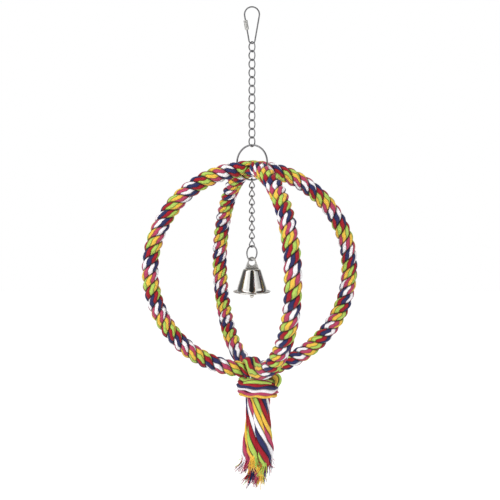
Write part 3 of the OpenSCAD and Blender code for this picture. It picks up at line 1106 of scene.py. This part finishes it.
@dataclass
class Strand:
    """An unlaid rope strand: bundles of yarn side by side round its middle, twisted on their way.

    Attributes:
        radius: Radius over the bundles.
        bundles: Bundles round it.
        groove: Depth of the grooves between bundles, as a share of the radius.
        roundness: Power of the bundles' outline. A lower one is squarer.
        places: Points round a bundle.
    """
    radius: float
    bundles: int = 6
    groove: float = 0.16
    roundness: float = 0.7
    places: int = 6

    def sheet(self, line: Array, side: Array, scale: Array, phase: Array, first: Array,
              wide: float = 1.0) -> Sheet:
        """Lobed tubes: the radius dips between bundles, and the lobes turn by phase.

        Args:
            line: Middle lines as (tubes, rings, 3).
            side: The way that angle 0 faces, in the same shape or one that spreads to it.
            scale: Radius at each ring, as a share, as (tubes, rings).
            phase: Turn of the lobes at each ring, as (tubes, rings).
            first: Colour of the first bundle of each tube, as (tubes,).
            wide: Width square to side, as a share of the width along it.

        Returns:
            The sheet, with open ends closed.
        """
        count = self.bundles * self.places
        share = np.arange(count + 1) / count
        angle = TURN * share + phase[..., None]
        lobes = np.abs(np.sin(np.pi * self.bundles * share))
        reach = (self.radius * scale)[..., None] * (1 - self.groove * (1 - lobes ** self.roundness))
        points = carried(line, side, reach * np.cos(angle), wide * reach * np.sin(angle))
        gaps = np.linalg.norm(np.diff(line, axis=1), axis=2)
        run = np.concatenate([np.zeros((len(line), 1)), np.cumsum(gaps, axis=1)], axis=1)
        colour = self.bundles * share + first[:, None, None]
        # Depth between bundles, which the yarn's material darkens as painted crease shade.
        crease = np.broadcast_to(1 - lobes, angle.shape)
        return Sheet(points[:, :, :-1], yarn_lay(colour, run[..., None]), crease[:, :, :-1])


def knot_place() -> tuple[Array, float, float]:
    """Reads the knot's place from its nodes.

    Returns:
        Its middle at level 0, the radius of its band, and the radius of its neck.
    """
    low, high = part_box("knot_wrap")
    core_low, core_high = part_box("knot_core")
    middle = np.array([(low.x + high.x) / 2, (low.y + high.y) / 2, 0])
    return middle, (high.x - low.x) / 2, (core_high.x - core_low.x) / 2


@dataclass
class Knot:
    """Strands that turn down from the hoops into the neck, and the band of unlaid strand wound round it.

    Attributes:
        strand: Radius of a strand.
        fan: Degrees between the three strands that start side by side.
        start_reach: How far out they start, as a share of the neck's radius.
        start_drop: How far under the band's top they start.
        bend_rise: How far over the core's top they bend.
        end_reach: How far out the middle one of three ends, and the outer ones, from the hoops' middle.
        end_shift: Share of the knot's own offset at which they end.
        strand_turn: Turn of the bundles along a strand.
        strand_colours: Colour steps from one strand to the next.
        tilt: How far the band's right side hangs under its left.
        front_lift: How far the band's front rises over its middle.
        overlap: Half the height of a winding, as a share of the pitch.
        colour_reach: How far the colour step goes to each side of a winding's middle.
        fold: Radius of the strand that folds over the band's right end.
        fold_bundles: Bundles round a fold.
        fold_turn: Turn of the bundles along a fold.
    """
    strand: float = 3.6 * MM
    fan: float = 27
    start_reach: float = 0.78
    start_drop: float = 8 * MM
    bend_rise: float = 1 * MM
    end_reach: tuple[float, float] = (4 * MM, 15 * MM)
    end_shift: float = 0.5
    strand_turn: float = 1.3
    strand_colours: int = 5
    tilt: float = 1.6 * MM
    front_lift: float = 2.4 * MM
    overlap: float = 0.64
    colour_reach: float = 0.45
    fold: float = 4.6 * MM
    fold_bundles: int = 3
    fold_turn: float = 0.7

    STRAND_RINGS = 20
    BAND_RINGS = 120
    BAND_PLACES = 16
    FOLD_RINGS = 24
    # Colour of each winding from the top down, and how far out it stands, as a share.
    BAND_COLOURS = np.array((0, 5, 4, 3, 2, 1))[:, None]
    BAND_REACH = np.array((0.80, 0.95, 1.0, 1.0, 0.95, 0.80))[:, None]
    # Unevenness of the windings, as waves of angle and winding: in and out, up and down, and in height.
    IN_AND_OUT = ((0.5 * MM, (3, 1.9)), (0.35 * MM, (7, 2.6)))
    UP_AND_DOWN = ((0.5 * MM, (2, 2.3)), (0.7 * MM, (6, 1.1)))
    HEIGHTS = ((0.2, (3, 1.3)), (0.08, (11, 1)))
    # The two folded strand ends: start, bend and end from the middle of the band's top, in millimetres.
    FOLDS = np.array((((13, -5, 5), (27, -12, 6), (21, -18, -5)),
                      ((-16, -16, -2), (-5, -26, 4), (15, -20, -1))))
    FOLD_SIZES = np.array((1.0, 0.6))[:, None]
    FOLD_STARTS = np.array((2.4, 1.2))[:, None]
    FOLD_FACES = np.array((0.3, -0.9, 0.2))
    FOLD_SPAN = (0.08, 0.84)

    def __post_init__(self) -> None:
        """Reads the knot's place from its nodes."""
        self.centre, self.outer, self.neck = knot_place()
        low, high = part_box("knot_wrap")
        self.low, self.high = low.z, high.z
        self.core_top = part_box("knot_core")[1].z

    def turned_down(self) -> Sheet:
        """Twelve strands that bend down into the neck, three between each two arms of the hoops.

        Returns:
            The sheet of all of them.
        """
        turns = np.array([WIDE_TURN, CROSSING_TURN])
        arms = np.radians(np.concatenate([turns, turns + 180, turns[:1] + 360]))
        quarter = np.repeat(np.arange(4), 3)
        lean = np.tile(np.array([-1, 0, 1]), 4)
        middle = (arms[quarter] + arms[quarter + 1]) / 2
        angle = middle + lean * np.radians(self.fan)
        start = self.centre + polar(self.start_reach * self.neck, angle, self.high - self.start_drop)
        bend = self.centre + polar(self.neck, angle, self.core_top + self.bend_rise)
        end_angle = np.where(lean < 0, arms[quarter], np.where(lean > 0, arms[quarter + 1], middle))
        end_reach = np.where(lean == 0, *self.end_reach)
        end = polar(end_reach, end_angle, self.core_top) + self.end_shift * self.centre
        line = bent_lines(start, bend, end, self.STRAND_RINGS)
        number = np.arange(len(line))
        phase = self.strand_turn * np.linspace(0, 1, self.STRAND_RINGS) + number[:, None]
        return Strand(self.strand).sheet(line, polar(1.0, middle)[:, None], np.ones(phase.shape), phase,
                                         number * self.strand_colours % YARN_COLOURS)

    def windings(self) -> Sheet:
        """Six bundles wound side by side round the neck, each a closed flattened tube that wavers a little.

        Returns:
            The sheet of all of them.
        """
        rows = len(self.BAND_COLOURS)
        row = np.arange(rows)[:, None]
        angle = round_angles(self.BAND_RINGS)
        pitch = (self.high - self.low) / rows
        deep = (self.outer - self.neck) / 2 * self.BAND_REACH
        tall = self.overlap * pitch * (1 + ripple(self.HEIGHTS, angle, row))
        level = (self.high - pitch * (row + 0.5) - self.tilt / 2 * np.cos(angle)
                 - self.front_lift * np.sin(angle) + ripple(self.UP_AND_DOWN, angle, row))
        line = polar(self.neck + deep + ripple(self.IN_AND_OUT, angle, row), angle, level) + self.centre
        about = TURN * np.arange(self.BAND_PLACES + 1) / self.BAND_PLACES
        points = carried(line, polar(1.0, angle), deep[..., None] * np.cos(about),
                         tall[..., None] * np.sin(about), closed=True)
        # The colour coordinate sweeps across each winding, so the yarn's painted groove shade darkens its
        # upper and lower edges.
        colour = self.BAND_COLOURS[..., None] + 0.5 + self.colour_reach * np.sin(about)
        run = self.outer * np.concatenate([angle, [TURN]])[:, None]
        return Sheet(points[:, :, :-1], yarn_lay(colour, run), closed=True)

    def folds(self) -> Sheet:
        """Two strand ends folded over the band, each thinned to its ends as the root of sin(pi t).

        Returns:
            The sheet of both.
        """
        ends = self.FOLDS * MM + self.centre + UP * self.high
        line = bent_lines(ends[:, 0], ends[:, 1], ends[:, 2], self.FOLD_RINGS)
        t = np.linspace(0, 1, self.FOLD_RINGS)
        scale = np.sqrt(np.sin(np.pi * (self.FOLD_SPAN[0] + self.FOLD_SPAN[1] * t))) * self.FOLD_SIZES
        return Strand(self.fold, self.fold_bundles).sheet(line, self.FOLD_FACES, scale,
                                                          self.fold_turn * t - self.FOLD_STARTS, np.zeros(2))

    def build(self, material: bpy.types.Material) -> None:
        """Makes the strands, and the band with its folds.

        Args:
            material: The yarn's finish.
        """
        make_piece("knot_strands", [self.turned_down()], material, "hoops", "knot_core")
        make_piece("knot_band", [self.windings(), self.folds()], material, "hoops", "knot_wrap")


@dataclass
class Tassel:
    """The four rope ends below the band, unlaid into three strands each, with frayed yarn ends.

    Attributes:
        strand: Radius of a strand at the neck.
        bundles: Bundles round a strand.
        groove: Depth of the grooves between them, as a share of the radius.
        wide: Width of a strand round the tassel, as a share of its depth.
        front_colour: Colour step that faces outward on the strand left of the front.
        front_angle: Where that strand starts, in degrees.
        colour_step: Change of that from each outer strand to the next.
        twist: Turn of the strands round the tassel over its length, in degrees.
        bundle_turn: Length in which the bundles turn once round a strand.
        opening: How much wider the tassel ends than it starts, as a share.
        opens: Share of the length at which it starts to open, and over which it does.
        strand_growth: Power of that widening which the strands' own radius takes.
        pinch: Share of the last part of a strand, and what it loses there of its radius.
        yarn: Radius of a single yarn.
        yarn_taper: Share of it that is lost towards the tip.
        yarns: Frayed yarns at the end of each strand.
        yarn_lengths: Shortest and longest yarn, as shares.
        yarn_start: Part of a yarn that lies inside the strand.
        splay: Most that a yarn leans outward, as a share of its length.
        curl: Spread of its chance lean, as a share of its length.
        drift: The lean that all yarns share.
        stray: How far a yarn may pass the tassel's tip.
        seed: Start of the chance numbers.
    """
    strand: float = 4.9 * MM
    bundles: int = 5
    groove: float = 0.22
    wide: float = 1.12
    front_colour: float = -0.7
    front_angle: float = 247.5
    colour_step: float = -2.0
    twist: float = 70
    bundle_turn: float = 86 * MM
    opening: float = 0.5
    opens: tuple[float, float] = (0.3, 0.46)
    strand_growth: float = 0.8
    pinch: tuple[float, float] = (0.1, 0.3)
    yarn: float = 0.55 * MM
    yarn_taper: float = 0.5
    yarns: int = 56
    yarn_lengths: tuple[float, float] = (0.55, 1.0)
    yarn_start: float = 4 * MM
    splay: float = 0.5
    curl: float = 0.16
    drift: Point = (-0.16, 0, 0)
    stray: float = 1 * MM
    seed: int = 11

    ROPE_ENDS = 4
    RINGS = 64
    YARN_RINGS = 6
    YARN_PLACES = 4
    # Length of each rope end's strands, as shares of the tassel's, and the last part of it, which is frayed.
    LENGTH_SHARES = ((1.0, 0.88, 0.84), (1.0, 0.9, 0.86), (1.0, 0.82, 0.89), (1.0, 0.85, 0.87))
    BRUSH_SHARE = 0.11
    # Where a rope end's three strands start: degrees from its middle, and shares of the neck's radius.
    STRAND_ANGLES = np.array((0.0, -22.5, 22.5))
    STRAND_REACH = np.array((0.3, 0.66, 0.66))
    OUTER_STEP = 45
    # Unevenness, as waves of the share of the length, the rope end and the strand: in and out, and round.
    SWAY = ((1.2 * MM, (9, 2.4, 1)),)
    TURN_SWAY = ((0.09, (7, 1.7, 2)),)
    # Least and most share of a strand's section in which a yarn starts, and of a bundle's colour step.
    YARN_DEPTHS = (0.05, 1.0)
    YARN_SHADES = (0.25, 0.75)
    YARN_RUN = 10 * MM
    YARN_FACES = np.array((0.31, 0.95, 0.05))
    # The strand's rings, from its end, at which yarns start and from which they take their way down.
    START_RING, WAY_RING = -4, -6

    def __post_init__(self) -> None:
        """Reads the tassel's place and length from its nodes."""
        self.centre, _, self.neck = knot_place()
        ends = [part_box(f"tassel_end_{number}") for number in range(1, self.ROPE_ENDS + 1)]
        self.top = max(high.z for _, high in ends)
        self.foot = min(low.z for low, _ in ends)

    def spread(self, share: Array) -> Array:
        """How far the tassel has opened at a share of its length: 1 plus the opening times a soft step."""
        return 1 + self.opening * smooth((share - self.opens[0]) / self.opens[1])

    def lines(self, number: int) -> tuple[Array, Array, Array, Array]:
        """The three strands of one rope end.

        Args:
            number: 1 to 4.

        Returns:
            Their middle lines, the ways outward, the share of the tassel's length at each ring, and the
            angles at which they start.
        """
        start = TURN * (number - 0.5) / self.ROPE_ENDS + np.radians(self.STRAND_ANGLES)
        length = np.array(self.LENGTH_SHARES[number - 1]) - self.BRUSH_SHARE
        share = length[:, None] * np.linspace(0, 1, self.RINGS)
        strand = np.arange(len(start))[:, None]
        reach = self.neck * self.STRAND_REACH[:, None] * self.spread(share)
        reach = reach + share * ripple(self.SWAY, share, number, strand)
        angle = start[:, None] + np.radians(self.twist) * share
        angle = angle + share * ripple(self.TURN_SWAY, share, number, strand)
        line = polar(reach, angle, self.top - share * (self.top - self.foot)) + self.centre
        return line, polar(1.0, angle), share, start

    def brush(self, line: Array, out: Array, phase: Array, first: Array, scale: Array,
              rng: np.random.Generator) -> Sheet:
        """Thin frayed yarns at the ends of the strands, each a line that bends outward as t squared.

        Args:
            line: The strands' middle lines.
            out: The ways outward.
            phase: Turn of the bundles at each ring.
            first: Colour of the first bundle of each strand.
            scale: The strands' radius shares.
            rng: The seeded source of chance.

        Returns:
            The sheet of all the yarns.
        """
        size = (len(line), self.yarns)
        side, square = frames_along(line, out, False)
        place = rng.uniform(0, TURN, size)
        depth = np.sqrt(rng.uniform(*self.YARN_DEPTHS, size))
        way = np.cos(place)[..., None] * side[:, None, -1] + np.sin(place)[..., None] * square[:, None, -1]
        start = line[:, None, self.START_RING] + way * (self.strand * scale[:, -1:] * depth)[..., None]
        down = unit(line[:, -1] - line[:, self.WAY_RING])[:, None, None]
        frayed = self.BRUSH_SHARE * (self.top - self.foot)
        length = rng.uniform(*self.yarn_lengths, size) * frayed + self.yarn_start
        splay = rng.uniform(0.0, self.splay, size) * depth
        curl = rng.normal(0, self.curl, (*size, 3)) + np.array(self.drift)
        t = np.linspace(0, 1, self.YARN_RINGS)
        bend = (way * splay[..., None] + curl)[:, :, None] * (t ** 2)[:, None]
        lines = start[:, :, None] + length[..., None, None] * (down * t[:, None] + bend)
        lines = lines.reshape(-1, self.YARN_RINGS, 3)
        lines[..., 2] = np.maximum(lines[..., 2], self.foot - self.stray)
        points = tube(lines, self.YARN_FACES, self.yarn * (1 - self.yarn_taper * t), self.YARN_PLACES)
        bundle = np.floor(((place - phase[:, -1:]) % TURN) / TURN * self.bundles) + first[:, None]
        colour = (bundle + rng.uniform(*self.YARN_SHADES, size)).reshape(-1, 1, 1)
        colour = np.broadcast_to(colour, (len(lines), self.YARN_RINGS, self.YARN_PLACES + 1))
        return Sheet(points, yarn_lay(colour, (t * self.YARN_RUN)[:, None]))

    def build(self, material: bpy.types.Material) -> None:
        """Makes the four rope ends.

        Args:
            material: The yarn's finish.
        """
        rng = np.random.default_rng(self.seed)
        strand = Strand(self.strand, self.bundles, self.groove)
        last, lost = self.pinch
        pinched = 1 - lost * smooth((np.linspace(0, 1, self.RINGS) - (1 - last)) / last)
        for number in range(1, self.ROPE_ENDS + 1):
            line, out, share, start = self.lines(number)
            scale = self.spread(share) ** self.strand_growth * pinched
            steps = (np.degrees(start) - self.front_angle) / self.OUTER_STEP
            faced = self.front_colour + self.colour_step * steps
            first = np.floor(faced) - self.bundles // 2
            run = share * (self.top - self.foot)
            phase = -TURN * (run / self.bundle_turn + ((faced - first) / self.bundles)[:, None])
            laid = strand.sheet(line, out, scale, phase, first, self.wide)
            frayed = self.brush(line, out, phase, first, scale, rng)
            make_piece(f"tassel_strands_{number}", [laid, frayed], material, "hoops", f"tassel_end_{number}")


@dataclass
class Bell:
    """The bell: pressed cup with its flare and rolled lip, the tab on its top, and the clapper.

    Attributes:
        mouth: Diameter at the mouth.
        waist: Diameter where the flare starts.
        shoulder: Diameter at the shoulder.
        height: Height of the cup.
        flare: Height of the flare.
        wall: Wall of the cup.
        lip: Diameter of the rolled lip.
        roll: Angles about the lip's middle between which it is rolled, in degrees.
        round_over: Radius of the shoulder.
        crown: Radius that the middle of the cup's top is closed to.
        tab_thickness: Thickness of the tab, and height of its straight foot.
        bevel: Bevel on the tab's edges.
        tab_foot: Width of the tab at its foot.
        tab_top: Width of the tab at its round top.
        tab_height: Height of the tab.
        hole: Diameter of its hole.
        roof: Metal over the hole.
        lift: Play between the tab's foot and the bell's top.
        tang: Width of the tang where it goes through the bell's top.
        ear: Width and height of the tang's ears under the bell's top.
        ear_play: Play between the ears and the underside of the bell's top.
        eye_hole: Diameter of the tang's small hole.
        eye_drop: From the underside of the bell's top to the middle of that hole.
        rod: Diameter of the clapper's rod.
        rod_tip: Height of the rod's tapered top, and the share of its radius left there.
        eye: Middle line radius of the rod's eye.
        eye_wire: Wire of the eye.
        eye_turn: Turn of the eye seen from above, in degrees.
        pole: Degrees short of the ball's poles at which its outline ends in a flat.
    """
    mouth: float = 42.8 * MM
    waist: float = 33.2 * MM
    shoulder: float = 21 * MM
    height: float = 27.4 * MM
    flare: float = 5.2 * MM
    wall: float = 0.9 * MM
    lip: float = 2 * MM
    roll: tuple[float, float] = (168, -178)
    round_over: float = 3 * MM
    crown: float = 0.6 * MM
    tab_thickness: float = 1 * MM
    bevel: float = 0.25 * MM
    tab_foot: float = 15.6 * MM
    tab_top: float = 9 * MM
    tab_height: float = 13.8 * MM
    hole: float = 6.6 * MM
    roof: float = 3.4 * MM
    lift: float = 0.05 * MM
    tang: float = 4.4 * MM
    ear: tuple[float, float] = (6.4 * MM, 4.6 * MM)
    ear_play: float = 0.1 * MM
    eye_hole: float = 2.4 * MM
    eye_drop: float = 2.1 * MM
    rod: float = 1.4 * MM
    rod_tip: tuple[float, float] = (0.4 * MM, 0.75)
    eye: float = 1.7 * MM
    eye_wire: float = 0.9 * MM
    eye_turn: float = 90
    pole: float = 2

    CUP_PLACES = 128
    TAB_PLACES = 96
    EYE_RINGS = 48
    EYE_SIDES = 14
    ROD_PLACES = 24
    BALL_PLACES = 48
    # Rings along the cup's top, shoulder, flank, flare and lip, the tab's round top, and the ball.
    TOP_STEPS, SHOULDER_STEPS, FLANK_STEPS, FLARE_STEPS, LIP_STEPS = 8, 14, 18, 16, 30
    CROWN_STEPS, BALL_STEPS = 24, 32
    # Place and depth of the point that softens the middle of a bevel, as a share of the bevel.
    BEVEL_MIDDLE = 1 / 3
    # Rings of the flare, outside and inside, that the rolled lip takes the place of.
    LIP_OUTSIDE, LIP_INSIDE = 4, 2
    # Least turn between a ray and a side, and how far past a side's ends a ray may meet it.
    TINY, END_PLAY = 1e-12, 1e-9

    def __post_init__(self) -> None:
        """Reads the bell's level from its node."""
        self.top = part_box("bell_cup")[1].z

    def side(self, inset: float) -> Array:
        """The bell's side: a round shoulder, a straight flank, and a flare whose radius grows as t squared.

        Args:
            inset: How far inside the outer surface it lies.

        Returns:
            Points (r, z) from the middle of the top to the mouth.
        """
        flank_height = self.height - self.flare
        lean = np.degrees(np.arctan((self.waist - self.shoulder) / 2 / flank_height))
        corner = (self.shoulder / 2 - self.round_over, -self.round_over)
        shoulder = arc(corner, self.round_over - inset, 90, lean, self.SHOULDER_STEPS)
        flat = np.linspace((self.crown, -inset), shoulder[0], self.TOP_STEPS)[:-1]
        t = np.linspace(0, 1, self.FLARE_STEPS)
        flare = np.stack([self.waist / 2 - inset + (self.mouth - self.waist) / 2 * t ** 2,
                          -flank_height - (self.flare - self.wall) * np.sin(np.pi / 2 * t)], axis=1)
        flank = np.linspace(shoulder[-1], flare[0], self.FLANK_STEPS)[1:-1]
        return np.concatenate([flat, shoulder, flank, flare])

    def cup(self) -> Array:
        """The cup's wall as one closed outline turned about the vertical, the lip rolled round its mouth.

        Returns:
            Points as (1, rings, places, 3).
        """
        middle = (self.mouth / 2 - self.lip / 2, self.lip / 2 - self.height)
        lip = arc(middle, self.lip / 2, *self.roll, self.LIP_STEPS)
        outer, inner = self.side(0)[:-self.LIP_OUTSIDE], self.side(self.wall)[:-self.LIP_INSIDE]
        outline = np.concatenate([outer, lip, inner[::-1]])
        return lathe(outline[::-1], self.CUP_PLACES, self.top)

    def around(self, outline: Array, centre: Array) -> Array:
        """Evenly spaced rays from a centre, each ended where it meets one of the outline's straight sides.

        Args:
            outline: The outline's corners as (corners, 2), anticlockwise.
            centre: The rays' start, inside it.

        Returns:
            Points as (places, 2).
        """
        ray = polar(1.0, round_angles(self.TAB_PLACES))[:, None, :2]
        start = (outline - centre)[None]
        edge = np.roll(start, -1, axis=1) - start
        turn = ray[..., 0] * edge[..., 1] - ray[..., 1] * edge[..., 0]
        turn = np.where(np.abs(turn) < self.TINY, self.TINY, turn)
        reach = (start[..., 0] * edge[..., 1] - start[..., 1] * edge[..., 0]) / turn
        place = (start[..., 0] * ray[..., 1] - start[..., 1] * ray[..., 0]) / turn
        within = np.abs(place - 0.5) <= 0.5 + self.END_PLAY
        nearest = np.where(within & (reach > 0), reach, np.inf).min(axis=1)
        return centre + ray[:, 0] * nearest[:, None]

    def plate(self, outline: list[tuple[float, float]], centre: tuple[float, float], hole: float) -> Sheet:
        """A plate with one hole. At each place, a section goes from its edge to the outer one and back.

        Args:
            outline: The outer edge's corners, anticlockwise, from the bell's top.
            centre: Middle of the hole.
            hole: Diameter of the hole.

        Returns:
            The closed sheet.
        """
        middle = np.array(centre)
        inner = middle + hole / 2 * polar(1.0, round_angles(self.TAB_PLACES))[:, :2]
        wide = self.around(np.array(outline), middle) - inner
        inset = self.bevel / np.linalg.norm(wide, axis=1, keepdims=True)
        none, half = np.zeros_like(inset), self.tab_thickness / 2
        soft = self.BEVEL_MIDDLE
        across = [none, soft * inset, inset, none + 0.5, 1 - inset, 1 - soft * inset, none + 1]
        depth = half - self.bevel * np.array([1, soft, 0, 0, 0, soft, 1])
        flat = inner + wide * np.stack(across + across[::-1])
        thick = np.broadcast_to(np.concatenate([depth, -depth[::-1]])[:, None], flat.shape[:2])
        return Sheet(np.stack([flat[..., 0], thick, flat[..., 1] + self.top], axis=2)[None], closed=True)

    def tab(self) -> list[Sheet]:
        """The tab with its round top and wide foot, and the tang with its ears below the bell's top.

        Returns:
            Their sheets.
        """
        crown = arc((0, self.tab_height - self.tab_top / 2), self.tab_top / 2, 0, 180, self.CROWN_STEPS)
        foot, rise, lift = self.tab_foot / 2, self.tab_thickness, self.lift
        standing = self.plate([*crown, (-foot, rise), (-foot, lift), (foot, lift), (foot, rise)],
                              (0.0, self.tab_height - self.roof - self.hole / 2), self.hole)
        wide, neck, under = self.ear[0] / 2, self.tang / 2, -self.wall - self.ear_play
        low = under - self.ear[1]
        hanging = self.plate([(wide, under), (neck, under), (neck, lift), (-neck, lift), (-neck, under),
                              (-wide, under), (-wide, low), (wide, low)],
                             (0.0, -self.wall - self.eye_drop), self.eye_hole)
        return [standing, hanging]

    def clapper(self, material: bpy.types.Material) -> None:
        """Makes the rod with its eye, and the ball, each where its node is.

        Args:
            material: Their finish.
        """
        low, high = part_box("clapper_rod")
        eye_level = high.z - self.eye - self.eye_wire / 2
        out = upright(round_angles(self.EYE_RINGS), self.eye_turn)
        loop = UP * eye_level + self.eye * out
        eye = Sheet(tube(loop, out, self.eye_wire / 2, self.EYE_SIDES, closed=True)[None], closed=True)
        rod_top, radius = eye_level - self.eye, self.rod / 2
        tip, left = self.rod_tip
        profile = np.array([(radius, low.z), (radius, rod_top - tip), (left * radius, rod_top)])
        rod = Sheet(lathe(profile, self.ROD_PLACES))
        make_piece("clapper_wire", [eye, rod], material, "clapper", "clapper_rod")
        low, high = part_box("clapper_ball")
        radius = (high.x - low.x) / 2
        outline = arc((0, low.z + radius), radius, self.pole - 90, 90 - self.pole, self.BALL_STEPS)
        ball = Sheet(lathe(outline, self.BALL_PLACES))
        make_piece("clapper_bead", [ball], material, "clapper", "clapper_ball")

    def build(self, material: bpy.types.Material, dull: bpy.types.Material) -> None:
        """Makes the bell, its tab and its clapper.

        Args:
            material: The finish of cup and clapper.
            dull: The tab's duller finish.
        """
        cup = Sheet(self.cup(), closed=True)
        make_piece("bell_shell", [cup], material, "bell", "bell_cup", sharp=60)
        make_piece("bell_top_tab", self.tab(), dull, "bell", "bell_tab", sharp=60)
        self.clapper(material)


def dress_cores(material: bpy.types.Material) -> None:
    """Gives the steel wires inside the ropes their finish.

    Args:
        material: The finish.
    """
    for node in ("hoop_a_core", "hoop_b_core"):
        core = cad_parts[node]
        core.data.materials.clear()
        core.data.materials.append(material)
        log.info("%s: dressed", node)


def main() -> None:
    """Builds the studio and the swing from the clip down."""
    logging.basicConfig(level=logging.INFO, format="%(name)s %(message)s")
    Studio().build()
    steel, nickel = STEEL.material(), NICKEL.material()
    dull, cotton = DULL_NICKEL.material(), COTTON.material()
    PearClip().build(steel, dull)
    Chain("upper", count=12, turn=0).build(steel)
    WireRing("crossing_ring", "hoops", wire=2 * MM, turn=-30, slot=Slot.STEEL).build(steel)
    RopeHoop("wide_hoop_rope", "hoop_a_rope", WIDE_TURN, Half.OUTER, colour_start=0.0).build(cotton)
    RopeHoop("crossing_hoop_rope", "hoop_b_rope", CROSSING_TURN, Half.INNER, colour_start=2.0, lays=20,
             colour_steps=204, slack=0.85, foot_swell=0.75).build(cotton)
    dress_cores(CORE_WIRE.material())
    Knot().build(cotton)
    Tassel().build(cotton)
    Chain("lower", count=8, turn=-60).build(steel)
    WireRing("bell_ring", "bell_ring", wire=1.6 * MM, turn=47, slot=Slot.NICKEL).build(steel)
    Bell().build(nickel, dull)


if __name__ == "__main__":
    main()
